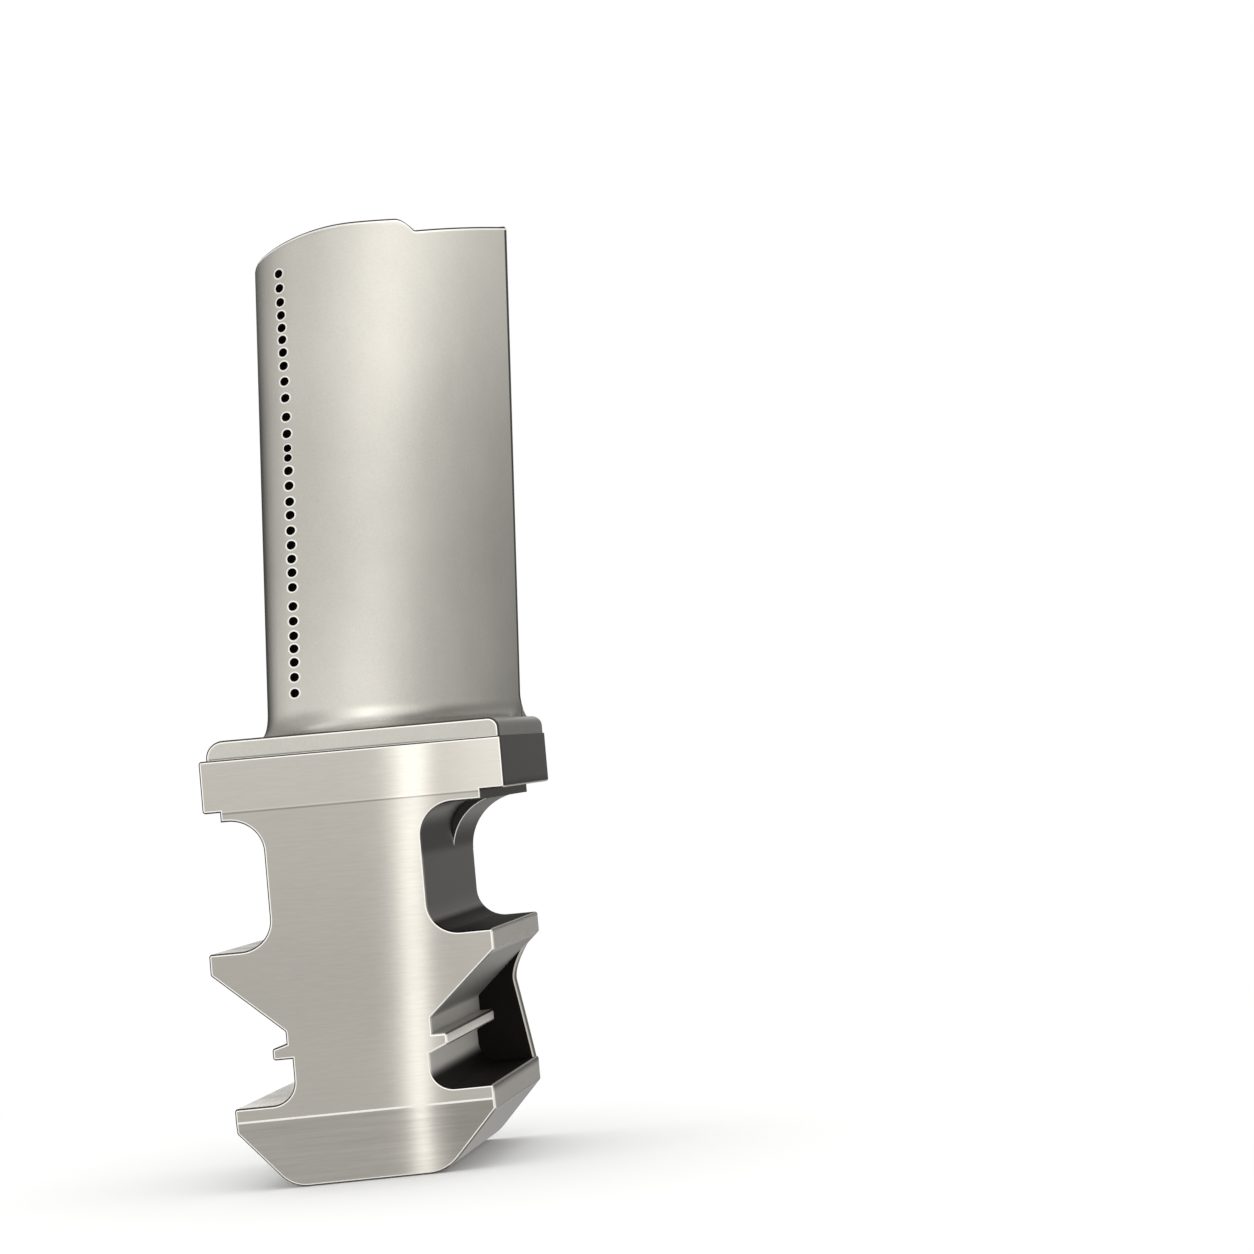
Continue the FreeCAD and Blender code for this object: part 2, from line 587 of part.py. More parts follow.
# Every feature sound, then the finished blade to its file
for thing in doc.Objects:
    assert "Invalid" not in thing.State and "Error" not in thing.State, thing.Name
assert not blade.Shape.isNull() and blade.Shape.isValid() and len(blade.Shape.Solids) == 1
os.makedirs("parts", exist_ok=True)
blade.Shape.Solids[0].exportStep("parts/%s.step" % blade.Label)
box = blade.Shape.Solids[0].optimalBoundingBox()
print("blade", [round(v, 2) for v in (box.XMin, box.XMax, box.YMin, box.YMax, box.ZMin, box.ZMax)])
print("volume", round(blade.Shape.Volume, 1), "faces", len(blade.Shape.Faces))
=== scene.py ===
import math

import bmesh
import bpy
import numpy as np
from mathutils import Matrix, Vector


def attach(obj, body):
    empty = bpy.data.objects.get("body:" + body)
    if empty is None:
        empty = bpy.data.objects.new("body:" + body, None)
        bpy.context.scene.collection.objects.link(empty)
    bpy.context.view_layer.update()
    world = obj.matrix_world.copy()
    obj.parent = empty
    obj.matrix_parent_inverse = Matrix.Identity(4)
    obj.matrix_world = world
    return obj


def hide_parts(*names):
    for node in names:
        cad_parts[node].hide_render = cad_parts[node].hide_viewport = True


# A cast and ground blade on a pale studio floor. Sizes of pieces are in millimetres, those of the studio
# in metres. Outlines are complex numbers: across and up for the root, across and deep for the aerofoil.
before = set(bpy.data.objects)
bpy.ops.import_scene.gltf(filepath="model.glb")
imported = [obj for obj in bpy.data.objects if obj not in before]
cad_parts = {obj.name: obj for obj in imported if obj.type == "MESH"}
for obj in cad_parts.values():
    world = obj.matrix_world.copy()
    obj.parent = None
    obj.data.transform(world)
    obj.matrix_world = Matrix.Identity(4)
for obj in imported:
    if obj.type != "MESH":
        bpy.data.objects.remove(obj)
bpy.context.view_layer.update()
mm = 0.001
sameSpot = 2e-6      # points nearer than this are one, in metres


# Faces of a grid of points numbered row by row from first: each joins a point, the next one in its row
# and the two in the row after. A closed grid joins its last column to its first.
def gridFaces(rows, columns, first=0, closed=False):
    spans = columns if closed else columns - 1
    r, c = np.meshgrid(np.arange(rows - 1), np.arange(spans), indexing="ij")
    ahead = (c + 1) % columns
    quads = np.stack([r * columns + c, r * columns + ahead,
                      (r + 1) * columns + ahead, (r + 1) * columns + c], -1)
    return first + quads.reshape(-1, 4)


# New object in the scene.
def addObject(name, data):
    made = bpy.data.objects.new(name, data)
    bpy.context.scene.collection.objects.link(made)
    return made


# A piece from points and a list of (faces, material number): joins doubles, points the faces outwards and
# keeps edges that turn by more than sharpAngle degrees. With evenFlats its large faces shade flat.
def makePiece(name, points, faceSets, materials, sharpAngle=32, evenFlats=True):
    faces = [face for group, number in faceSets for face in np.asarray(group).tolist()]
    numbers = np.concatenate([np.full(len(group), number) for group, number in faceSets])
    mesh = bpy.data.meshes.new(name)
    mesh.from_pydata((np.asarray(points) * mm).tolist(), [], faces)
    mesh.polygons.foreach_set("material_index", numbers.astype(np.int32))
    for material in materials:
        mesh.materials.append(material)
    piece = addObject(name, mesh)
    work = bmesh.new()
    work.from_mesh(mesh)
    bmesh.ops.remove_doubles(work, verts=work.verts, dist=sameSpot)
    bmesh.ops.recalc_face_normals(work, faces=work.faces)
    if work.calc_volume(signed=True) < 0:     # it can turn a whole shell inside out
        bmesh.ops.reverse_faces(work, faces=work.faces)
    loose = sum(not edge.is_manifold for edge in work.edges)
    work.to_mesh(mesh)
    work.free()
    mesh.shade_smooth()
    mesh.set_sharp_from_angle(angle=math.radians(sharpAngle))
    if evenFlats:
        flats = piece.modifiers.new("flats", "WEIGHTED_NORMAL")
        flats.keep_sharp, flats.weight = True, 100
    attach(piece, "root")
    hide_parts("turbine_blade")
    print("piece", name, len(mesh.polygons), "faces,", loose, "open edges")


# One shader socket; arithmetic on it adds Math nodes.
class Wire:
    def __init__(self, maker, socket):
        self.maker, self.socket = maker, socket

    def math(self, operation, first, second):
        return self.maker.node("ShaderNodeMath", {"operation": operation}, {0: first, 1: second})

    def __add__(self, other): return self.math("ADD", self, other)
    def __radd__(self, other): return self.math("ADD", other, self)
    def __sub__(self, other): return self.math("SUBTRACT", self, other)
    def __rsub__(self, other): return self.math("SUBTRACT", other, self)
    def __mul__(self, other): return self.math("MULTIPLY", self, other)
    def __rmul__(self, other): return self.math("MULTIPLY", other, self)


# Makes the nodes of a material or world.
class Maker:
    def __init__(self, owner):
        owner.use_nodes = True
        self.owner, self.tree = owner, owner.node_tree
        self.tree.nodes.clear()

    # any node: its type, its settings, then the values or links of its sockets
    def node(self, kind, settings=None, sockets=None, output=0):
        made = self.tree.nodes.new(kind)
        for key, value in (settings or {}).items():
            setattr(made, key, value)
        for key, value in (sockets or {}).items():
            if isinstance(value, Wire):
                self.tree.links.new(value.socket, made.inputs[key])
            else:
                made.inputs[key].default_value = value
        return Wire(self, made.outputs[output]) if len(made.outputs) else None

    # named outputs of the node that a wire comes from
    def outputs(self, wire, *names):
        return [Wire(self, wire.socket.node.outputs[name]) for name in names]

    # Object coordinates
    def place(self):
        return self.node("ShaderNodeTexCoord", output="Object")

    # across and height of a place, in millimetres
    def acrossAndHeight(self, place):
        parts = self.node("ShaderNodeSeparateXYZ", {}, {"Vector": self.scaled(place, 1 / mm)})
        return self.outputs(parts, "X", "Z")

    # cloudy noise from 0 to 1, with so many waves to the metre each way
    def noise(self, place, waves, detail=3.0, rough=0.55):
        spread = self.node("ShaderNodeMapping", {}, {"Vector": place, "Scale": waves})
        return self.node("ShaderNodeTexNoise", {}, {"Vector": spread, "Scale": 1.0,
                                                    "Detail": detail, "Roughness": rough})

    # bump of a strength and a depth in metres
    def bump(self, height, strength, depth):
        return self.node("ShaderNodeBump", {}, {"Strength": strength, "Distance": depth, "Height": height})

    # smooth climb from 0 at low to 1 at high
    def step(self, value, low, high):
        return self.node("ShaderNodeMapRange", {"interpolation_type": "SMOOTHSTEP"},
                         {"Value": value, "From Min": low, "From Max": high})

    # 1 between low and high, falling to 0 over soft on either side
    def within(self, value, low, high, soft):
        return self.step(value, low - soft, low) - self.step(value, high, high + soft)

    # a colour or a place times a factor
    def scaled(self, base, factor):
        return self.node("ShaderNodeVectorMath", {"operation": "SCALE"}, {0: base, "Scale": factor})

    # surface from the shader's sockets, with the black of painted shade laid over it by the share given
    def finish(self, sockets, shadeShare=None):
        surface = self.node("ShaderNodeBsdfPrincipled", {}, sockets)
        if shadeShare is not None:
            black = finishes["blackShade"]
            over = self.node("ShaderNodeBsdfPrincipled", {}, {
                "Base Color": (*black["color"], 1), "Roughness": black["roughness"],
                "Specular IOR Level": black["gloss"]})
            surface = self.node("ShaderNodeMixShader", {}, {0: shadeShare, 1: surface, 2: over})
        self.node("ShaderNodeOutputMaterial", {}, {"Surface": surface})
        return self.owner


# Stretches of the height, in millimetres: from, to, and over how much they fade; of two numbers, where a
# climb starts and ends. Names with Side are such climbs across. A bump is its strength and its depth in
# metres.
finishes = {
    "ground": dict(color=(0.465, 0.45, 0.415), roughness=0.06, anisotropy=0.7, rotation=0.25,
                   bump=(0.02, 0.00002), band=(58.9, 59.4), seamShadow=(58.92, 59.08, 0.10),
                   seamHighlight=(59.22, 59.36, 0.10), facet=(10.6, 11.2), low=(18, 34),
                   bandSide=(12, 25), faceSide=(9, 20), facetSide=(10, 14)),
    # the flanks' colour is darker than the end faces', partly as painted shade of the side faces
    "flank": dict(color=(0.30, 0.29, 0.27), roughness=0.24, bump=(0.03, 0.00003),
                  upperCrest=(34.2, 37.2, 0.3), lowerCrest=(9.5, 13.0, 0.2), slot=(13.4, 33.4, 0.6),
                  groove=(17.0, 20.0, 2.2), tooth=(20.4, 21.7, 0.3), crevice=(22.3, 24.2, 0.4),
                  land=(25.2, 33.2, 0.6), arch=(51, 58.8, 2.0), shadeSide=(0, 2),
                  lowerShade=(13.5, 14.8, 1.8), upperShade=(37.7, 38.9, 1.1), sole=(8.6, 9.3),
                  band=(58.8, 59.4)),
    "skin": dict(color=(0.655, 0.64, 0.595), roughness=0.24, bump=(0.20, 0.00004),
                 platform=(70.4, 71.2), upper=(85, 150), middleStart=(76, 98), middleEnd=(112, 136),
                 seam=(67.55, 67.75), seamSide=(8, 24)),
    # the next five colours are painted: a bright highlight on edges and rims, black and dark shade, pale
    # light on the lands, and dark shade inside the holes
    "edge": dict(color=(0.95, 0.93, 0.88), roughness=0.20, metal=0.45),
    "blackShade": dict(color=(0.0055, 0.0045, 0.0035), roughness=0.5, gloss=0.06),
    "shade": dict(color=(0.038, 0.036, 0.031), roughness=0.4, gloss=0.25),
    "pale": dict(color=(0.84, 0.82, 0.78), roughness=0.5, gloss=0.3),
    "bore": dict(color=(0.02, 0.018, 0.015), roughness=0.7, metal=0.3),
}


# Ground end faces: fine level strokes that draw a highlight out upright. Painted light makes them lighter on
# the band, low down and to the right; a painted shadow line under a painted highlight marks the band's seam,
# and painted shade darkens the facet, more so to its right; the facet is also more streaked.
def groundSteel(look):
    m = Maker(bpy.data.materials.new("groundSteel"))
    at = m.place()
    across, height = m.acrossAndHeight(at)
    strokes = m.noise(at, (150, 150, 3600), detail=4, rough=0.6)
    scratches = m.noise(at, (420, 420, 3000), detail=3)
    drags = m.noise(at, (45, 45, 1300), detail=3)
    mottle = m.noise(at, (160, 160, 160), detail=5)
    # strokes, scratches, drags and mottle are the steel's own; band, low and right are painted light, the
    # seam a painted shadow line under a painted highlight, the facet's darkening painted shade
    band = m.step(height, *look["band"])
    seam = m.within(height, *look["seamShadow"]) - 0.35 * m.within(height, *look["seamHighlight"])
    facet = 1 - m.step(height, *look["facet"])
    low = 1 - m.step(height, *look["low"])
    right = (0.36 * band * m.step(across, *look["bandSide"])
             + 0.12 * (1 - facet) * m.step(across, *look["faceSide"]))
    facetLevel = 0.34 * drags - 0.27 - 0.20 * m.step(across, *look["facetSide"])
    level = (0.85 + 0.10 * strokes + 0.10 * scratches + 0.05 * mottle + 0.10 * band - 0.36 * seam
             + 0.08 * low + right + facet * facetLevel)
    return m.finish({"Base Color": m.scaled(look["color"], level), "Metallic": 1.0,
                     "Roughness": look["roughness"] + 0.03 * mottle,
                     "Anisotropic": look["anisotropy"], "Anisotropic Rotation": look["rotation"],
                     "Normal": m.bump(strokes, *look["bump"])})


# Broached flanks: strokes along the slot, burnished on the crests, satin in the slots. Their colour is
# darker than the end faces', partly as painted shade of the sides; painted light lightens the groove, the
# small tooth and the crevice, painted shade darkens the long slant, the foot's bottom, the arch and the
# band's side, and black painted shade lies over the right side just above each land and on the arch.
def flankSteel(look):
    m = Maker(bpy.data.materials.new("flankSteel"))
    at = m.place()
    across, height = m.acrossAndHeight(at)
    strokes = m.noise(at, (1500, 35, 1500), detail=3)
    mottle = m.noise(at, (120, 120, 120), detail=4)
    crest = m.within(height, *look["upperCrest"]) + m.within(height, *look["lowerCrest"])
    slot, groove, tooth, crevice, land, arch = (
        m.within(height, *look[name]) for name in ("slot", "groove", "tooth", "crevice", "land", "arch"))
    # black painted shade on the right side, just above the lands and, fainter, on the arch
    shadeShare = m.step(across, *look["shadeSide"]) * (
        m.within(height, *look["lowerShade"]) + m.within(height, *look["upperShade"]) + 0.4 * arch)
    sole = 1 - m.step(height, *look["sole"])
    band = m.step(height, *look["band"])
    # painted light on groove, tooth and crevice; painted shade on the long slant, the foot's bottom, the
    # arch and the band's side; strokes and mottle are the steel's own, the crests burnished
    level = (0.86 + 0.14 * strokes + 0.12 * mottle + 2.0 * crest + 1.3 * groove + 1.0 * tooth
             + 0.4 * crevice - 0.42 * land - 0.38 * sole - 0.30 * arch - 0.66 * band)
    return m.finish({"Base Color": m.scaled(look["color"], level), "Metallic": 1 - 0.5 * slot - 0.2 * crest,
                     "Roughness": look["roughness"] + 0.04 * mottle + 0.15 * slot,
                     "Normal": m.bump(strokes, *look["bump"])}, shadeShare)


# Cast and lightly peened skin of aerofoil and platform top: cloudy, with painted light towards the tip and
# painted shade halfway up, on the platform and along the seam with the band, where it is a painted shadow
# line.
def castSkin(look):
    m = Maker(bpy.data.materials.new("castSkin"))
    at = m.place()
    across, height = m.acrossAndHeight(at)
    grain = m.noise(at, (2600, 2600, 2600), detail=3)
    cloud = m.noise(at, (90, 90, 60), detail=4)
    platform = 1 - m.step(height, *look["platform"])
    upper = m.step(height, *look["upper"])
    middle = m.step(height, *look["middleStart"]) * (1 - m.step(height, *look["middleEnd"]))
    seam = (1 - m.step(height, *look["seam"])) * (1 - m.step(across, *look["seamSide"]))
    # grain and cloud are the skin's own; upper is painted light, middle, platform and seam painted shade
    level = (0.79 + 0.12 * grain + 0.20 * cloud + 0.12 * upper - 0.10 * middle - 0.08 * platform
             - 0.5 * seam)
    return m.finish({"Base Color": m.scaled(look["color"], level), "Metallic": 1.0,
                     "Roughness": look["roughness"] + 0.06 * cloud + 0.05 * platform,
                     "Normal": m.bump(grain, *look["bump"])})


# Broken edges and hole rims painted pale as bright highlights, a little brighter where the tool has been.
def brightEdge(look):
    m = Maker(bpy.data.materials.new("brightEdge"))
    wear = m.noise(m.place(), (700, 700, 700), detail=3)
    return m.finish({"Base Color": m.scaled(look["color"], 0.90 + 0.14 * wear),
                     "Metallic": look["metal"], "Roughness": look["roughness"] + 0.08 * wear})


# Matt faces, all painted: black painted shade on the wall behind the right-hand flank and over its lobes,
# dark painted shade along edges, and pale painted light on the left-hand lands.
def mattFace(name, look):
    m = Maker(bpy.data.materials.new(name))
    cloud = m.noise(m.place(), (160, 160, 110), detail=4)
    return m.finish({"Base Color": m.scaled(look["color"], 0.6 + 0.8 * cloud),
                     "Roughness": look["roughness"] + 0.12 * cloud,
                     "Specular IOR Level": look["gloss"]})


# Inside of the holes: painted dark shade, mottled at random.
def boreDark(look):
    m = Maker(bpy.data.materials.new("boreDark"))
    scale = m.noise(m.place(), (900, 900, 900), detail=2)
    return m.finish({"Base Color": m.scaled(look["color"], 0.7 + 0.6 * scale),
                     "Metallic": look["metal"], "Roughness": look["roughness"]})


ground = groundSteel(finishes["ground"])
flank = flankSteel(finishes["flank"])
skin = castSkin(finishes["skin"])
bright = brightEdge(finishes["edge"])
bore = boreDark(finishes["bore"])
blackShade = mattFace("paintedShadeBlack", finishes["blackShade"])
shade = mattFace("darkShade", finishes["shade"])
pale = mattFace("paleLand", finishes["pale"])
print("materials made")


root = dict(
    length=41.0, skew=13.0, facetTop=11.0, facetRecess=2.2, edge=0.4,
    edgeTurns=(0, 12, 25, 45, 68, 90), polishedAndLit=2,   # strips of an edge that are polished and painted as a bright highlight
    inlet=(-4.0, -4.0), inletRadius=1.5, inletDepth=9.0, inletSides=32,
    # corners of the right and left sides, foot to band: across, up, rounding
    right=[(11.1, 0, 6.5), (19.7, 9.3, 0.45), (19.7, 10.84, 0), (19.7, 11.16, 0), (19.7, 13.2, 0.45),
           (10.4, 13.2, 3.5), (10.4, 18.8, 0), (13.3, 20.1, 0.45), (13.3, 21.9, 0.45),
           (11.1, 21.9, 0), (11.1, 24.4, 0.45), (21.6, 34.1, 0.45), (21.6, 37.4, 0.45),
           (12.0, 37.4, 4.7), (12.0, 57.7, 5.1), (21.65, 57.7, 0), (21.65, 59.2, 0),
           (25.35, 59.2, 0.45), (25.35, 67.4, 0)],
    left=[(-12.5, 0, 5.0), (-19.7, 9.3, 0.45), (-19.7, 10.84, 0), (-19.7, 11.16, 0),
          (-19.7, 13.2, 0.45), (-10.4, 13.2, 3.5), (-10.4, 20.1, 0), (-13.3, 20.1, 0.45),
          (-13.3, 21.9, 0.45), (-11.1, 22.55, 0), (-11.1, 24.4, 0.45), (-21.6, 34.1, 0.45),
          (-21.6, 37.4, 0.45), (-12.0, 37.4, 4.7), (-12.0, 57.7, 5.1), (-18.15, 57.7, 0),
          (-18.15, 59.2, 0), (-20.75, 59.2, 0.45), (-20.75, 67.4, 0.45)],
    # painted light and shade of the flanks: the lobes' land heights and how near one counts, how far beyond
    # them a land may lie and how steep it may be, and the longest edge of a fine corner's arc
    lands=(13.2, 37.4), landNear=0.3, landBelow=1.2, landAbove=0.6, landSlope=0.35, fineRun=0.1,
    creaseNear=0.2,   # how near the facet's top the crease's points lie
)
slant = math.tan(math.radians(root["skew"]))
square = math.cos(math.radians(root["skew"]))


# Closed outline whose corners are rounded by an arc of a circle, which starts and ends at the radius
# divided by the tangent of half the corner's angle. The larger the radius and the turn, the more points.
def roundedOutline(corners):
    places = np.array([x + 1j * z for x, z, radius in corners])
    outline = []
    for i, (x, z, radius) in enumerate(corners):
        here, before, after = places[i], places[i - 1], places[(i + 1) % len(places)]
        if not radius:
            outline.append([here])
            continue
        back, on = before - here, after - here
        back, on = back / abs(back), on / abs(on)
        half = np.angle(on / back) / 2
        reach = radius / abs(math.tan(half))
        centre = here + (back + on) / abs(back + on) * math.hypot(radius, reach)
        start, end = here + back * reach - centre, here + on * reach - centre
        swing = np.angle(end / start)
        steps = max(3, math.ceil(abs(swing) * (4 + 2 * math.sqrt(radius))))
        outline.append(centre + start * np.exp(1j * swing * np.linspace(0, 1, steps + 1)))
    return np.concatenate(outline)


# Outward direction at each point of a closed outline: the mean of its two edges' own, divided by the
# cosine of half the turn between them, so that an inset keeps the edges parallel.
def mitre(outline, sharpest=0.35):
    along = np.roll(outline, -1) - outline
    along = along / np.abs(along)
    ahead, behind = -1j * along, -1j * np.roll(along, 1)
    both = ahead + behind
    return both / np.abs(both) / np.maximum(sharpest, np.abs(both) / 2)


# Rings of an outline in X and Z carried along Y from the front face to the back one. Each end rolls over
# its edge in a quarter circle: inset by 1 - sine and set in by 1 - cosine of the turn.
def carried(outline, front, back, edge, turns=(0, 22.5, 45, 67.5, 90)):
    outward = mitre(outline)
    turn = np.radians(turns)
    inset, depth = edge * (1 - np.sin(turn)), edge * (1 - np.cos(turn))
    order = list(range(len(turns)))
    rings = []
    for face, inwards, steps in ((front, 1, order), (back, -1, order[::-1])):
        for i in steps:
            ring = outline - outward * inset[i]
            rings.append(np.stack([ring.real, face(ring.real, ring.imag) + inwards * depth[i],
                                   ring.imag], -1))
    return np.stack(rings)


# Faces of a carried outline: its sides ring by ring, its front end and its back end.
def carriedFaces(rings):
    count, around = rings.shape[:2]
    last = (count - 1) * around
    return (gridFaces(count, around, closed=True), [list(range(around))],
            [list(range(last, last + around))])


# Front face of the root: half the length ahead of the middle, slanting with x, and falling back evenly
# from the facet's top to the foot.
def rootFront(x, z):
    fall = np.clip(1 - z / root["facetTop"], 0, 1) * root["facetRecess"]
    return fall / square - root["length"] / 2 + x * slant


# Back face of the root: half the length behind the middle, slanting with x.
def rootBack(x, z):
    return root["length"] / 2 + x * slant


# Inlet for cooling air, let into one face of the foot: a circle of points at its mouth and one at its
# end. Four faces with many corners fill the room between the mouth and that face's corners, nearest to
# nearest.
def inletParts(points, quad, first):
    centre, sides = complex(*root["inlet"]), root["inletSides"]
    turns = np.arange(sides) * 2 * math.pi / sides
    circle = centre + root["inletRadius"] * np.exp(1j * turns)
    mouth = np.stack([circle.real, circle.imag, 0 * turns], -1)
    bearing = np.angle(points[quad, :2] @ [1, 1j] - centre)
    quad, bearing = quad[np.argsort(bearing)], np.sort(bearing)
    nearest = np.rint(bearing / (2 * math.pi / sides)).astype(int)
    collar = []
    for i in range(4):
        start, stop = nearest[i], nearest[(i + 1) % 4] + (sides if i == 3 else 0)
        collar.append([quad[i], quad[(i + 1) % 4], *(first + np.arange(stop, start - 1, -1) % sides)])
    return (np.concatenate([mouth, mouth + [0, 0, root["inletDepth"]]]), collar,
            gridFaces(2, sides, first, closed=True), [list(range(first + sides, first + 2 * sides))])


# Root block: the fir-tree outline carried between the slanting ends, with the inlet in its foot and the
# facet's crease as a narrow strip across its front end, painted as a bright highlight.
def makeRoot():
    outline = roundedOutline(root["right"] + root["left"][::-1])
    rings = carried(outline, rootFront, rootBack, root["edge"], root["edgeTurns"])
    sides, _, backEnd = carriedFaces(rings)
    count, around = rings.shape[:2]
    after = np.roll(outline, -1)
    run, middle = after - outline, (after + outline) / 2
    # strips before the long one roll over the front edge, which is polished and painted as a bright
    # highlight next to the face and painted dark shade beyond it on the left and below; those after it roll
    # over the back edge, painted bright
    ringOf = np.repeat(np.arange(count - 1), around)
    longStrip = count // 2 - 1
    polishedAndLit = ringOf < root["polishedAndLit"]
    edges = polishedAndLit | (ringOf > longStrip)
    outer = np.tile((middle.real < 0) | (middle.imag < 1), count - 1)
    shaded = (ringOf < longStrip) & ~polishedAndLit & outer
    # fine corners along the slots are painted lighter in their middle, as a highlight
    fine = np.abs(run) < root["fineRun"]
    corner = np.logical_and.reduce([np.roll(fine, i) for i in (-2, -1, 0, 1, 2)]) & (middle.real > 0)
    # the lands, level faces of the slots: painted pale light on the left, painted black shade over the lobes
    # on the right
    lowest, highest = root["lands"]
    land = ((np.abs(run.imag) < root["landSlope"] * np.abs(run))
            & (middle.imag > lowest - root["landBelow"]) & (middle.imag < highest + root["landAbove"]))
    lobe = np.logical_or.reduce([np.abs(middle.imag - at) < root["landNear"] for at in (lowest, highest)])
    plain = ~edges & ~shaded
    paleLit = np.tile(land & (middle.real < 0), count - 1) & plain
    lines = np.tile(corner, count - 1) & plain
    black = np.tile(land & lobe & (middle.real > 0), count - 1) & plain & ~lines
    # the front end, cut in two by the crease, whose strip is painted as a bright highlight
    crease = np.abs(outline.imag - root["facetTop"]) < root["creaseNear"]
    rightLow, rightHigh, leftHigh, leftLow = np.flatnonzero(crease)
    upper = list(range(rightHigh, leftHigh + 1))
    lower = list(range(leftLow, around)) + list(range(rightLow + 1))
    # the inlet takes the place of the foot's face in the long strip; its wall and end are painted dark shade
    foot = longStrip * around + np.flatnonzero(np.abs(outline.imag) + np.abs(after.imag) < 1e-6)[0]
    points = rings.reshape(-1, 3)
    inlet, collar, wall, end = inletParts(points, sides[foot], len(points))
    rest = ~(edges | paleLit | black | shaded | lines)
    rest[foot] = False
    faceSets = [(sides[rest], 1), (sides[edges], 2), (sides[black], 3), (sides[shaded], 5),
                (sides[paleLit], 6), (sides[lines], 7), ([upper], 0), ([lower], 0),
                ([[rightLow, rightHigh, leftHigh, leftLow]], 2), (backEnd, 0), (wall, 4), (end, 4)]
    faceSets += [([face], 1) for face in collar]
    makePiece("root_block", np.concatenate([points, inlet]), faceSets,
              [ground, flank, bright, blackShade, bore, shade, pale, skin])


makeRoot()


castTop = dict(left=-19.65, right=25.15, bottom=67.0, top=70.4, roundLeft=2.7, roundRight=1.7,
               setBack=0.3, edge=0.45)


# As-cast top of the platform: an outline with two rounded upper corners, carried between the root's end
# faces and set back from them; its edges are polished and painted as a bright highlight next to the faces
# and painted dark shade beyond them at the front.
def makeCastTop():
    c = castTop
    outline = roundedOutline([(c["left"], c["bottom"], 0), (c["right"], c["bottom"], 0),
                              (c["right"], c["top"], c["roundRight"]),
                              (c["left"], c["top"], c["roundLeft"])])
    back = c["setBack"] / square
    rings = carried(outline, lambda x, z: rootFront(x, z) + back,
                    lambda x, z: rootBack(x, z) - back, c["edge"], root["edgeTurns"])
    sides, frontEnd, backEnd = carriedFaces(rings)
    strips = len(rings) - 1
    ringOf = np.repeat(np.arange(strips), len(outline))
    edges = (ringOf < root["polishedAndLit"]) | (ringOf >= strips - root["polishedAndLit"])
    shaded = (ringOf < strips // 2) & ~edges
    faceSets = [(sides[~(shaded | edges)], 0), (sides[shaded], 1), (sides[edges], 2),
                (frontEnd, 0), (backEnd, 0)]
    makePiece("platform_top", rings.reshape(-1, 3), faceSets, [skin, shade, bright])


makeCastTop()


gusset = dict(neck=12.0, under=57.7, radius=8.6, arcPoints=25, front=7.0, sink=0.6, inset=0.02, edge=0.2)


# Larger fillet high on the neck's right side, from its front to the back: a quarter circle whose straight
# sides are sunk in neck and flange.
def makeGusset():
    g = gusset
    centre = complex(g["neck"] + g["radius"], g["under"] - g["radius"])
    arc = centre + g["radius"] * np.exp(1j * np.linspace(math.pi / 2, math.pi, g["arcPoints"]))
    left, top = g["neck"] - g["sink"], g["under"] + g["sink"]
    outline = np.concatenate([arc, [complex(left, centre.imag), complex(left, top),
                                    complex(centre.real, top)]])
    rings = carried(outline[::-1], lambda x, z: g["front"] + 0 * x,
                    lambda x, z: rootBack(x, z) - g["inset"], g["edge"])
    sides, frontEnd, backEnd = carriedFaces(rings)
    edge = 2 * len(outline)
    # its front edge is painted as a bright highlight and its front end as dark shade
    faceSets = [(sides[edge:], 0), (sides[:edge], 1), (frontEnd, 2), (backEnd, 0)]
    makePiece("neck_gusset", rings.reshape(-1, 3), faceSets, [flank, bright, shade])


makeGusset()


web = dict(foot=(19.6, 11.6), swell=(18.4, 19.6), waist=(17.3, 26.2), rise=(16.86, 28.84),
           head=(21.2, 34.5), curvePoints=17, inner=6.0, thickness=2.2, proud=0.004, edge=0.3)


# Parabola from start over turn to end: the squares of the two shares and twice their product.
def parabola(start, turn, end, count):
    t = np.linspace(0, 1, count)
    a, b, c = (complex(*p) for p in (start, turn, end))
    return a * (1 - t) ** 2 + b * 2 * t * (1 - t) + c * t ** 2


# End web at the back between the right-hand teeth: its free edge is two parabolas that meet at the waist.
def makeWeb():
    w = web
    count = w["curvePoints"]
    outline = np.concatenate([parabola(w["foot"], w["swell"], w["waist"], count),
                              parabola(w["waist"], w["rise"], w["head"], count)[1:],
                              [complex(w["inner"], w["head"][1]), complex(w["inner"], w["foot"][1])]])
    rings = carried(outline, lambda x, z: rootBack(x, z) - w["thickness"] / square,
                    lambda x, z: rootBack(x, z) + w["proud"], w["edge"])
    sides, frontEnd, backEnd = carriedFaces(rings)
    # its front end is painted black shade
    makePiece("end_web", rings.reshape(-1, 3), [(sides, 0), (frontEnd, 1), (backEnd, 0)],
              [ground, blackShade])


makeWeb()


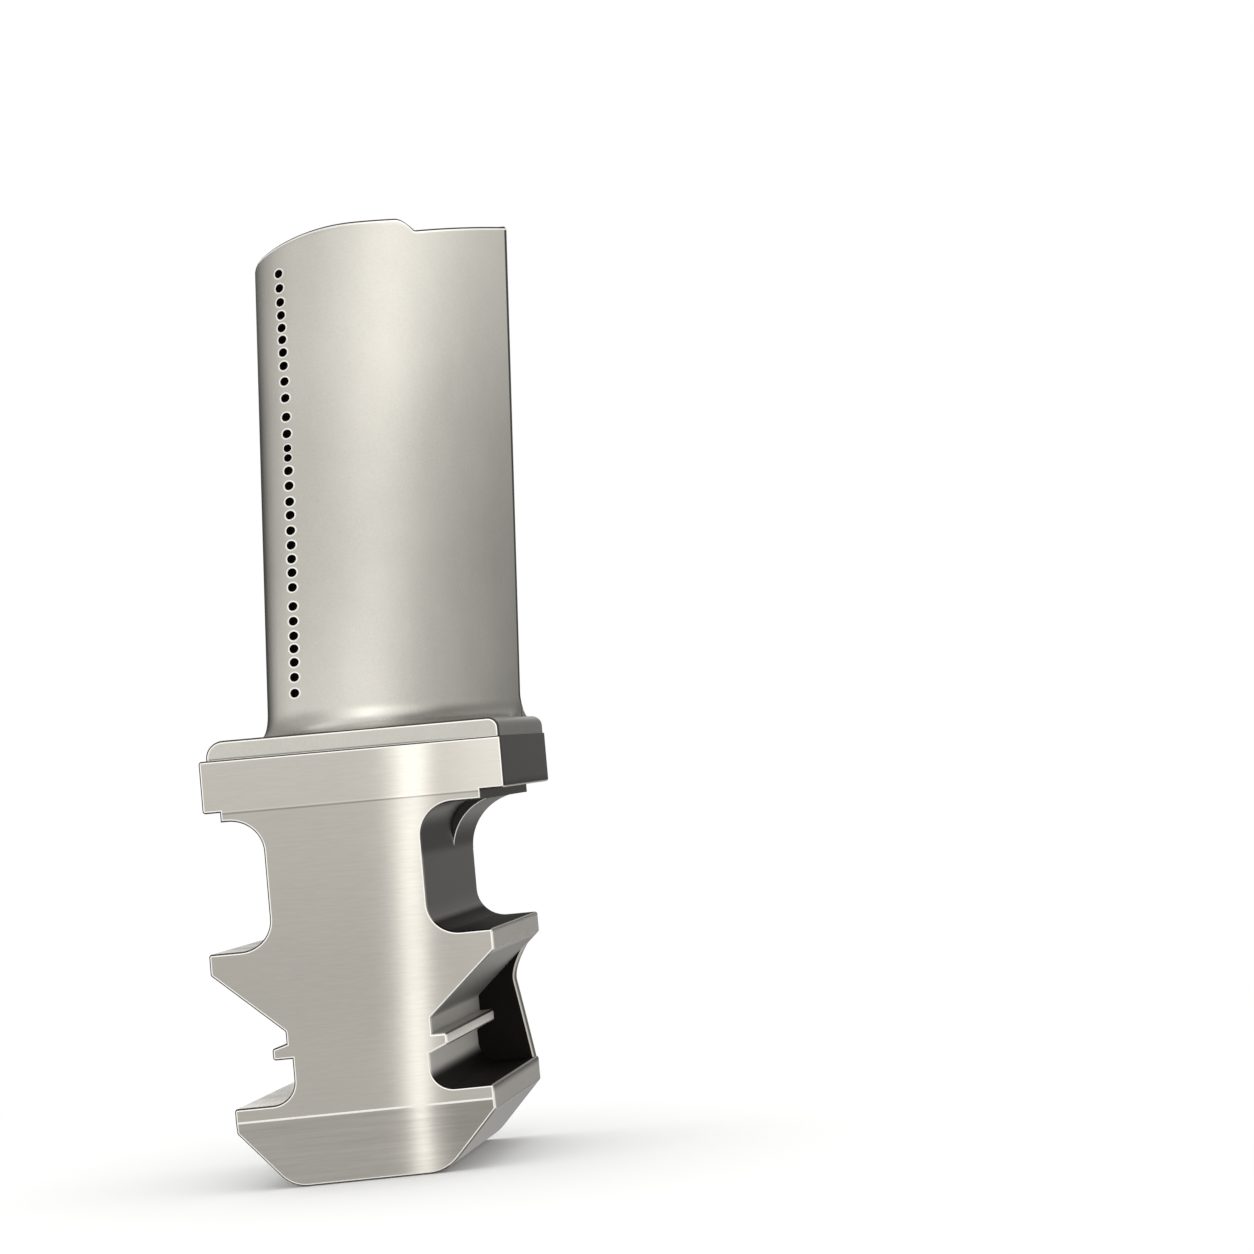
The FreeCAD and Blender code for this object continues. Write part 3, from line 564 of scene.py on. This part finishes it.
blade = dict(
    castTop=70.4, tipHeight=151.5, fillet=3.8, leadFilletShare=0.25, leadFilletRun=0.375, sink=0.4,
    # each at the platform and at the tip
    lead=(-12.7 - 9.5j, -10.6 + 0j), turn=(8 - 21j, 10 - 16.6j), trail=(22.8 + 18j, 30.1 + 5j),
    thick=(9.6, 7.0), trailThick=0.8, trailEnd=0.998, trailBulge=0.24, leastBulge=0.02,
    # half thickness over the thickness: factors of the root of the camber line's share, of that share and
    # of its square, cube and fourth power
    section=(1.4845, -0.63, -1.758, 1.4215, -0.518),
    tipCrown=8.0, tipCrownRadius=45.0, tipStepStart=14.4, tipStepEnd=17.0, tipStepBend=1.9,
    tipStep=2.0, tipRise=1.0, tipEdge=0.6, tipRolls=(14, 28, 55, 90), tipCorner=1.4,
    tipWall=1.2, tipPocketDepth=1.8, tipPocketRoom=2.2, tipDraft=0.004,
    flat=(-16.95, 23.45), flatSetBack=0.6,   # the platform's flat, which the fillet keeps to
    # strips of faces upwards: on the fillet, below the holes and up to the tip's edge
    filletRows=12, plainRows=4, climbRows=8,
    # strips of faces round the skin: from nose to holes, on to closeFrom, closer to closeTo below the tip's
    # step, on to the painted dark shade line that starts at darkFrom of the rest, and round the trailing
    # edge
    noseStrips=8, sideStrips=18, closeStrips=24, tailStrips=9, trailStrips=8,
    closeFrom=0.74, closeTo=0.87, darkFrom=0.97,
)
holes = dict(
    first=6.55, last=6.7, row=(-7.2, -5.55), bow=0.63, radius=0.70, rim=0.92, lip=0.03, broad=1.16,
    depth=2.4, passage=0.14,
    side=8, window=1.7,   # each hole has a window of side by side faces, which reaches so far each way
    outer=1.08,           # the outermost ring, in rims
    room=(0.99, 0.97, 0.80),   # most of the room between holes for outer ring, rim and mouth
    # offset from an even pitch, in pitches, lowest first
    offsets=[0.0, 0.08, 0.09, 0.01, -0.11, -0.11, -0.1, 0.2, 0.21, 0.14, 0.09, 0.09, 0.16, 0.08,
             0.18, 0.22, 0.11, -0.22, -0.22, -0.05, 0.27, 0.43, 0.52, 0.46, 0.35, 0.18, 0.07,
             -0.01, -0.02, 0.0],
)


# Share of the way from platform to tip.
def shareAt(z):
    return (z - blade["castTop"]) / (blade["tipHeight"] - blade["castTop"])


# Value a share of the way from the platform's to the tip's.
def between(pair, share):
    return pair[0] * (1 - share) + pair[1] * share


# Camber line at s: a parabola from leading to trailing edge with its tangents' corner at turn; and its
# direction there.
def camberLine(share, s):
    a, b, c = (between(blade[name], share) for name in ("lead", "turn", "trail"))
    run = (b - a) * (1 - s) + (c - b) * s
    return a * (1 - s) ** 2 + b * 2 * s * (1 - s) + c * s ** 2, run / np.abs(run)


# Half thickness where the camber share's root is t: a round nose, fullest at a third, and a thin tail.
def halfThickness(share, t):
    s = t * t
    a, b, c, d, e = blade["section"]
    nose = a * np.abs(t) + b * s + c * s ** 2 + d * s ** 3 + e * s ** 4
    return between(blade["thick"], share) * nose + blade["trailThick"] / 2 * s


# Skin at t: half the thickness off the camber line, on the convex side where t is over 0.
def skinAt(share, t):
    middle, run = camberLine(share, t * t)
    return middle - np.sign(t) * 1j * run * halfThickness(share, t)


# Run of the skin at t, in millimetres to each unit of t: the difference over a small step.
def skinRun(share, t, step=0.002):
    return (skinAt(share, t + step) - skinAt(share, t - step)) / (2 * step)


# Skin at height z moved outwards by grow, less so at the leading edge, or inwards where grow is negative.
def grownSkin(z, t, grow):
    share = shareAt(z)
    run = skinRun(share, t)
    kept = blade["leadFilletShare"] + (1 - blade["leadFilletShare"]) * np.minimum(
        1, t * t / blade["leadFilletRun"])
    return skinAt(share, t) - 1j * run / np.abs(run) * grow * np.where(grow > 0, kept, 1)


# Outline of the tip seen along Y: a circle's crown to the left, a rounded step down, then a slow rise.
def tipOutline(x):
    b = blade
    top = b["tipHeight"]
    crown = top - b["tipCrownRadius"] + np.sqrt(
        b["tipCrownRadius"] ** 2 - np.minimum(0, x - b["tipCrown"]) ** 2)
    across = np.clip((x - b["tipStepStart"]) / (b["tipStepEnd"] - b["tipStepStart"]), 0, 1)
    fall = b["tipStep"] * across ** b["tipStepBend"]
    rise = b["tipRise"] * np.maximum(0, x - b["tipStepEnd"]) / (b["trail"][1].real - b["tipStepEnd"])
    return np.where(x < b["tipStepStart"], crown, top - fall + rise)


# Height of each hole, an even pitch moved by its offset, and the heights halfway between holes.
def holeHeights():
    even = np.linspace(blade["castTop"] + holes["first"], blade["tipHeight"] - holes["last"],
                       len(holes["offsets"]))
    pitch = even[1] - even[0]
    centres = even + np.array(holes["offsets"]) * pitch
    return centres, np.concatenate([[centres[0] - pitch / 2], (centres[1:] + centres[:-1]) / 2,
                                    [centres[-1] + pitch / 2]])


# Where the row of holes runs: the skin's t at which the convex side has the row's x, found by halving the
# stretch from 0 to 0.7 thirty times.
def holeStation(z):
    share = shareAt(z)
    x = between(holes["row"], share) + 4 * holes["bow"] * share * (1 - share)
    near, far = np.zeros_like(z), np.full_like(z, 0.7)
    for halving in range(30):
        middle = (near + far) / 2
        short = skinAt(share, middle).real < x
        near, far = np.where(short, middle, near), np.where(short, far, middle)
    return near


# Rings of each hole: two on the skin, the rim, the bore's mouth and its end. Each is a circle round the
# bore, seen along it, carried onto the skin and set upright where the skin leans.
def holeRings(centres, bounds):
    h = holes
    points = 4 * h["side"]
    angle = math.radians(225) + np.arange(points) * 2 * math.pi / points
    t, share = holeStation(centres), shareAt(centres)
    run = skinRun(share, t)
    speed, along = np.abs(run), run / np.abs(run)
    inside = camberLine(share, h["passage"])[0] - skinAt(share, t)
    inwards = inside / np.abs(inside)
    slanting = 1 / np.abs((np.conj(inwards) * along).imag)
    step = 0.08     # millimetres up and down over which the skin's lean is taken
    climb = (skinAt(shareAt(centres + step), t) - skinAt(shareAt(centres - step), t)) / (2 * step)
    lean = (np.conj(along) * climb).real

    def onSkin(radius):
        across, up = radius * np.cos(angle) * (h["broad"] * slanting)[:, None], radius * np.sin(angle)
        z = centres[:, None] + up
        p = skinAt(shareAt(z), t[:, None] + (across - lean[:, None] * up) / speed[:, None])
        return np.stack([p.real, p.imag, z], -1)

    def inBore(radius, depth):
        shift = np.stack([inwards.real, inwards.imag, 0 * speed], -1) * depth
        return onSkin(radius) + shift[:, None]

    room = np.minimum(centres - bounds[:-1], bounds[1:] - centres)[:, None]
    outer, rim, radius = (np.minimum(size, room * share) for size, share in zip(
        (h["rim"] * h["outer"], h["rim"], h["radius"]), h["room"]))
    return np.stack([onSkin(outer), onSkin(rim), onSkin(radius + h["lip"]),
                     inBore(radius, h["lip"]), inBore(radius, h["depth"])], 1)


# Points across the tip between its convex and concave edge: a wall, the pocket's floor where the blade
# is thick enough, and a wall.
def tipPoints(p, q):
    b = blade
    width = np.linalg.norm(p - q, axis=1)
    wall = np.minimum(b["tipWall"] / np.maximum(width, 1e-6), 0.49)
    foot = wall + b["tipDraft"]
    across = np.stack([wall, foot, 0.5 + 0 * wall, 1 - foot, 1 - wall], 1)
    inner = p[:, None] + (q - p)[:, None] * across[..., None]
    deep = (width > 2 * b["tipPocketRoom"]) & (p[:, 0] < b["tipStepStart"] - b["tipWall"])
    rim = tipOutline(inner[..., 0])
    sunk = deep[:, None] & np.array([False, True, True, True, False])
    height = np.where(sunk, np.minimum(b["tipHeight"] - b["tipPocketDepth"], rim), rim)
    return np.concatenate([inner, height[..., None]], -1)


# Aerofoil: a grid of skin points, row by row from platform to tip and round from the nose over the
# convex side, the trailing edge and the concave side, with a window of faces left out at each hole, and
# the tip's top.
def makeAerofoil():
    b, side = blade, holes["side"]
    centres, bounds = holeHeights()
    # rows: sunk foot, fillet, plain strip, eight to each hole, then up to the tip and over its edge
    turn = np.linspace(0, math.pi / 2, b["filletRows"] + 1)
    filletTop = b["castTop"] + b["fillet"]
    plain = np.linspace(filletTop, bounds[0], b["plainRows"] + 1)[1:-1]
    part = np.arange(side // 2) / (side // 2)
    holeRows = np.stack([bounds[:-1, None] + (centres - bounds[:-1])[:, None] * part,
                         centres[:, None] + (bounds[1:] - centres)[:, None] * part], 1).ravel()
    low = np.concatenate([[b["castTop"] - b["sink"]], filletTop - b["fillet"] * np.cos(turn), plain,
                          holeRows, [bounds[-1]]])
    climb, roll = np.linspace(0, 1, b["climbRows"] + 1)[1:], np.radians(b["tipRolls"])
    climbFirst, rollFirst = len(low), len(low) + len(climb)
    rows = rollFirst + len(roll)
    z = np.concatenate([low, np.full(rows - len(low), bounds[-1])])[:, None]
    grow = np.zeros((rows, 1))
    grow[0], grow[1:len(turn) + 1, 0] = b["fillet"], b["fillet"] * (1 - np.sin(turn))
    grow[rollFirst:, 0] = -b["tipEdge"] * (1 - np.cos(roll))

    # columns: nose, the holes' windows, then the convex side, closer below the tip's step; the last strip
    # before the trailing edge is painted as its dark shade line; then back along the concave side
    station = holeStation(z)
    reach = holes["window"] / np.abs(skinRun(shareAt(z), station))
    left, right = station - reach, station + reach
    closeFrom, closeTo = b["closeFrom"], b["closeTo"]
    noseShares, sideShares, closeShares = (
        np.linspace(0, 1, b[name] + 1) for name in ("noseStrips", "sideStrips", "closeStrips"))
    tailShares = np.append(np.linspace(0, b["darkFrom"], b["tailStrips"] + 1)[1:], 1)
    half = np.concatenate([noseShares[:-1] * left, station + np.linspace(-1, 1, side + 1) * reach,
                           right + (closeFrom - right) * sideShares[1:],
                           closeFrom + (closeTo - closeFrom) * closeShares[1:] + 0 * right,
                           closeTo + (b["trailEnd"] - closeTo) * tailShares + 0 * right], 1)
    t = np.concatenate([half, -half[:, :0:-1]], 1)
    sideCount = half.shape[1]

    # the last rows climb to the tip's outline, which depends on where they are across: six rounds settle it
    z = np.repeat(z, t.shape[1], 1)
    top = np.full(t.shape[1], b["tipHeight"])
    for settling in range(6):
        z[climbFirst:rollFirst] = bounds[-1] + (top - b["tipEdge"] - bounds[-1]) * climb[:, None]
        z[rollFirst:] = top - b["tipEdge"] * (1 - np.sin(roll[:, None]))
        section = grownSkin(z, t, grow)
        x = section[-1].real
        inset = np.clip(x.min() + b["tipCorner"] - x, 0, b["tipCorner"])
        top = tipOutline(x) - b["tipCorner"] + np.sqrt(b["tipCorner"] ** 2 - inset ** 2)

    # trailing edge: half an ellipse from the convex to the concave side
    convexEnd, concaveEnd = section[:, sideCount - 1], section[:, sideCount]
    hub, arm = (convexEnd + concaveEnd) / 2, (convexEnd - concaveEnd) / 2
    run = camberLine(shareAt(z[:, sideCount]), 1.0)[1]
    bulge = b["trailBulge"] + grow[:, 0]
    bulge = np.where(grow[:, 0] < 0, np.maximum(b["leastBulge"], bulge), bulge)
    swing = np.linspace(0, math.pi, b["trailStrips"] + 1)[1:-1]
    tail = hub[:, None] + arm[:, None] * np.cos(swing) + (run * bulge)[:, None] * np.sin(swing)
    points = np.concatenate([section[:, :sideCount], tail, section[:, sideCount:]], 1)
    heights = np.concatenate([z[:, :sideCount], np.repeat(z[:, sideCount - 1:sideCount], len(swing), 1),
                              z[:, sideCount:]], 1)
    inFillet, setBack = heights < filletTop, b["flatSetBack"]
    x = np.where(inFillet, np.clip(points.real, *b["flat"]), points.real)
    y = np.where(inFillet, np.clip(points.imag, rootFront(x, heights) + setBack,
                                   rootBack(x, heights) - setBack), points.imag)
    grid = np.stack([x, y, heights], -1)
    columns = points.shape[1]

    # a painted dark shade line along the trailing edge; the tip's edge is painted as a bright highlight next
    # to the skin and as dark shade on top
    faces = gridFaces(rows, columns, closed=True)
    faceRow, faceColumn = np.divmod(np.arange(len(faces)), columns)
    firstRow, firstColumn = 1 + len(turn) + len(plain), len(noseShares) - 1
    inWindow = ((faceRow >= firstRow) & (faceRow < firstRow + side * len(centres))
                & (faceColumn >= firstColumn) & (faceColumn < firstColumn + side))
    tipBright, tipDark = faceRow >= rollFirst - 1, faceRow >= rollFirst + 1
    dark = ((faceColumn == sideCount - 2) & ~tipBright) | tipDark

    # holes: from the window's rim of points ring by ring down the bore; rims painted as bright highlights,
    # bores as dark shade
    windowRow = np.concatenate([np.zeros(side), np.arange(side), np.full(side, side),
                                side - np.arange(side)]).astype(int)
    windowColumn = np.roll(windowRow, -side)
    starts = firstRow + side * np.arange(len(centres))[:, None]
    window = (starts + windowRow) * columns + firstColumn + windowColumn
    rings = holeRings(centres, bounds)
    first = rows * columns
    ringIndex = first + np.arange(rings.size // 3).reshape(rings.shape[:3])
    ringIndex = np.concatenate([window[:, None], ringIndex], 1)
    near, far = ringIndex[:, :-1], ringIndex[:, 1:]
    quads = np.stack([near, np.roll(near, -1, 2), np.roll(far, -1, 2), far], -1)
    holeSkin, holeRim, holeBore = (quads[:, a:b].reshape(-1, 4) for a, b in ((0, 2), (2, 4), (4, 5)))

    # tip: strips from the convex to the concave side, and one face over the trailing edge
    topRow = (rows - 1) * columns
    convexTop, concaveTop = np.arange(sideCount), (columns - np.arange(sideCount)) % columns
    inner = tipPoints(grid[-1, convexTop, :2], grid[-1, concaveTop, :2])
    capFirst = first + rings.size // 3
    capIndex = np.concatenate([(topRow + convexTop)[:, None],
                               capFirst + np.arange(inner.size // 3).reshape(inner.shape[:2]),
                               (topRow + concaveTop)[:, None]], 1)
    capFaces = capIndex.ravel()[gridFaces(*capIndex.shape)]
    tailTop = topRow + np.arange(sideCount - 1, sideCount + len(swing) + 1)
    tailFace = [[*tailTop, *capIndex[-1, -2:0:-1]]]

    faceSets = [(faces[~inWindow & ~dark & ~tipBright], 0), (holeSkin, 0), (holeRim, 1), (holeBore, 2),
                (ringIndex[:, -1], 2), (capFaces, 0), (tailFace, 0), ([list(range(columns))], 0),
                (faces[tipBright & ~tipDark], 1), (faces[dark], 3)]
    makePiece("aerofoil", np.concatenate([group.reshape(-1, 3) for group in (grid, rings, inner)]),
              faceSets, [skin, bright, bore, shade], sharpAngle=38, evenFlats=False)


makeAerofoil()


floorLook = dict(half=4.0, under=0.00005, white=(0.95, 0.95, 0.945, 1), near=0.05, far=0.16)


# Floor paint: white near the blade, where it holds its shadow, and plain white light farther off, mixed
# by the distance from the middle.
def floorPaint():
    m = Maker(bpy.data.materials.new("floorPaint"))
    distance = m.node("ShaderNodeVectorMath", {"operation": "LENGTH"}, {0: m.place()}, output="Value")
    paint = m.node("ShaderNodeBsdfDiffuse", {}, {"Color": floorLook["white"]})
    plain = m.node("ShaderNodeEmission", {}, {"Color": (1, 1, 1, 1), "Strength": 1.0})
    both = m.node("ShaderNodeMixShader", {},
                  {0: m.step(distance, floorLook["near"], floorLook["far"]), 1: paint, 2: plain})
    m.node("ShaderNodeOutputMaterial", {}, {"Surface": both})
    return m.owner


# Floor: one square just under the foot. The steel doesn't mirror it, because the tent goes on below.
def makeFloor():
    mesh = bpy.data.meshes.new("floor")
    half, under = floorLook["half"], -floorLook["under"]
    mesh.from_pydata([(-half, -half, under), (half, -half, under), (half, half, under),
                      (-half, half, under)], [], [(0, 1, 2, 3)])
    mesh.materials.append(floorPaint())
    floor = addObject("floor", mesh)
    floor.visible_glossy = False


studio = dict(
    # lamps: a level of 1 is as bright as a white card
    key=dict(place=(-0.5, -1.0, 1.3), size=0.8, level=0.3),
    fill=dict(place=(0.9, -0.7, 1.2), size=0.6, level=0.2),
    aim=(0, 0, 0.08), skyLevel=1.12, warm=(1, 0.985, 0.96),
    # narrow light beside the camera: its level, its level across from the left edge at 0 to the right one
    # at 1, then at each height its left and right edge and how many times that level
    stripLevel=1.42, stripColumns=35,
    stripAcross=[(-0.5, 0), (0, 0.35), (0.25, 1), (0.85, 1), (1.0, 0.4), (1.25, 0)],
    strip=[(-0.34, 0.0046, 0.0099, 1.45), (-0.16, 0.0046, 0.0095, 1.45), (-0.05, 0.0022, 0.0098, 1.0),
           (-0.006, 0.0042, 0.0126, 1.0), (0.014, 0.00525, 0.0133, 1.06), (0.032, 0.0062, 0.0140, 1.08),
           (0.050, 0.0070, 0.0165, 1.0), (0.062, 0.0077, 0.0183, 0.92), (0.110, 0.0080, 0.0190, 0.90)],
    # what the metal mirrors: compass from straight in front, left under 0; level at eye height, a little
    # above and overhead. At floor height all have the same.
    floorLevel=0.80,
    cards=[(-180, 0.45, 0.75, 0.55), (-172, 0.25, 0.50, 0.55), (-165, 0.10, 0.25, 0.50),
           (-155, 0.04, 0.06, 0.45), (-145, 0.03, 0.04, 0.45), (-130, 0.05, 0.06, 0.40),
           (-115, 0.16, 0.18, 0.40), (-100, 0.42, 0.46, 0.45), (-85, 0.68, 0.80, 0.50),
           (-62, 0.82, 1.04, 0.60), (-40, 0.84, 1.04, 0.60), (-15, 0.85, 1.06, 0.80),
           (0, 0.85, 1.06, 1.00), (12, 0.85, 1.10, 1.20), (30, 0.90, 1.18, 1.65),
           (48, 0.95, 1.18, 1.90), (65, 0.92, 1.04, 1.35), (80, 0.80, 0.84, 1.10),
           (93, 0.68, 0.72, 0.85), (105, 0.60, 0.64, 0.50), (117, 0.53, 0.56, 0.28),
           (127, 0.44, 0.46, 0.28), (140, 0.30, 0.30, 0.32), (155, 0.19, 0.20, 0.38),
           (167, 0.15, 0.18, 0.42), (175, 0.20, 0.28, 0.50), (180, 0.45, 0.75, 0.55)],
    # the tent: its radius, its columns, its rows' rises, and at which rises each of a card's levels holds
    tentRadius=1.2, tentColumns=120,
    tentRises=(-86, -60, -40, -25, -18, -13, -9, -6, -4, -2, 0, 2, 4, 8, 14, 20, 26, 34, 44, 56, 66),
    tentHolds=((-17, 0), (-9, 1), (-4, 1), (4, 2), (16, 2), (30, 3)),
)


# Glowing sheet whose level is a value at each point; seen only in reflections, and a clear one adds to
# what is behind it.
def glowSheet(name, points, faces, level, clear=False):
    m = Maker(bpy.data.materials.new(name))
    light = m.node("ShaderNodeAttribute", {"attribute_name": "level"}, output="Fac")
    glow = m.node("ShaderNodeEmission", {}, {"Color": m.scaled(studio["warm"], light), "Strength": 1.0})
    if clear:
        glow = m.node("ShaderNodeAddShader", {}, {0: glow, 1: m.node("ShaderNodeBsdfTransparent")})
    m.node("ShaderNodeOutputMaterial", {}, {"Surface": glow})
    mesh = bpy.data.meshes.new(name)
    mesh.from_pydata(points.reshape(-1, 3).tolist(), [], faces.tolist())
    mesh.attributes.new("level", "FLOAT", "POINT").data.foreach_set("value", level.ravel())
    mesh.materials.append(m.owner)
    sheet = addObject(name, mesh)
    sheet.visible_camera = sheet.visible_diffuse = sheet.visible_shadow = False
    sheet.visible_transmission = False


# Tent round the blade: a sheet on a sphere, open overhead to the white sky. Its level is the cards' own,
# read between their compass bearings and between the rises at which each of their four levels holds.
def makeTent():
    compass, *levels = (np.array(column, float) for column in zip(*studio["cards"]))
    turn, rise = np.linspace(-180, 180, studio["tentColumns"] + 1), np.array(studio["tentRises"])
    a, e = np.radians(turn)[None, :], np.radians(rise)[:, None]
    points = studio["tentRadius"] * np.stack(
        [np.sin(a) * np.cos(e), -np.cos(a) * np.cos(e), np.sin(e) + 0 * a], -1)
    levels = [np.full_like(compass, studio["floorLevel"]), *levels]
    around = np.stack([np.interp(turn, compass, level) for level in levels])
    holds, numbers = zip(*studio["tentHolds"])
    weights = np.stack([np.interp(rise, holds, np.equal(numbers, k).astype(float))
                        for k in range(len(levels))], 1)
    glowSheet("tent", points, gridFaces(len(rise), len(turn)), weights @ around)


# Narrow light beside the camera, between a left and a right edge that lean with height.
def makeStrip(place, level):
    height, left, right, times = (np.array(column) for column in zip(*studio["strip"]))
    stops, shares = zip(*studio["stripAcross"])
    across = np.linspace(stops[0], stops[-1], studio["stripColumns"] + 1)
    light = studio["stripLevel"] * np.interp(across, stops, shares)
    reach = left[:, None] + (right - left)[:, None] * across
    points = (np.array(place) * (1, 1, 0) + np.array(level) * reach[..., None]
              + np.array([0, 0, 1]) * height[:, None, None])
    glowSheet("strip", points, gridFaces(len(height), len(across)), np.outer(times, light), clear=True)


# Place in metres and angles in degrees, found from the blade's corners in the photograph; focal length in
# pixels of a picture so many pixels wide, and the sensor's width.
view = dict(place=(0.1165, -0.5023, 0.0642), turn=8.12, tilt=2.12, roll=-5.14, focal=3154, picture=1254,
            sensor=36, clip=(0.01, 50))


# Camera turned left about the upright, tilted up and rolled about its own sight. Gives its place and its
# level direction to the right.
def makeCamera():
    place = Vector(view["place"])
    turn, tilt, roll = (math.radians(view[name]) for name in ("turn", "tilt", "roll"))
    ahead = Vector((-math.sin(turn) * math.cos(tilt), math.cos(turn) * math.cos(tilt), math.sin(tilt)))
    level = Vector((math.cos(turn), math.sin(turn), 0))
    upright = level.cross(ahead)
    right = math.cos(roll) * level + math.sin(roll) * upright
    up = -math.sin(roll) * level + math.cos(roll) * upright
    data = bpy.data.cameras.new("camera")
    data.sensor_width, data.lens = view["sensor"], view["focal"] / view["picture"] * view["sensor"]
    data.clip_start, data.clip_end = view["clip"]
    camera = addObject("camera", data)
    camera.matrix_world = Matrix.Translation(place) @ Matrix((right, up, -ahead)).transposed().to_4x4()
    bpy.context.scene.camera = camera
    return place, level


# Square lamp that looks at the blade; its power is its level times pi times its area.
def softbox(name, place, size, level):
    data = bpy.data.lights.new(name, "AREA")
    data.shape, data.size = "SQUARE", size
    data.energy = level * math.pi * size * size
    lamp = addObject(name, data)
    lamp.location = place
    lamp.rotation_euler = (Vector(studio["aim"]) - Vector(place)).to_track_quat("-Z", "Y").to_euler()


# World: white for the camera and for anything that mirrors it or looks through, the sky's level as a lamp.
def makeWorld():
    world = bpy.data.worlds.new("studio")
    bpy.context.scene.world = world
    m = Maker(world)
    camera, glossy, through = m.outputs(m.node("ShaderNodeLightPath"), "Is Camera Ray", "Is Glossy Ray",
                                        "Is Transmission Ray")
    seen = m.node("ShaderNodeMath", {"operation": "ADD", "use_clamp": True},
                  {0: camera + glossy, 1: through})
    level = m.node("ShaderNodeMapRange", {}, {"Value": seen, "To Min": studio["skyLevel"]})
    sky = m.node("ShaderNodeBackground", {}, {"Color": (1, 1, 1, 1), "Strength": level})
    m.node("ShaderNodeOutputWorld", {}, {"Surface": sky})


makeFloor()
makeTent()
makeWorld()
makeStrip(*makeCamera())
softbox("key", **studio["key"])
softbox("fill", **studio["fill"])
bpy.context.scene.view_settings.view_transform = "Standard"
print("studio made")
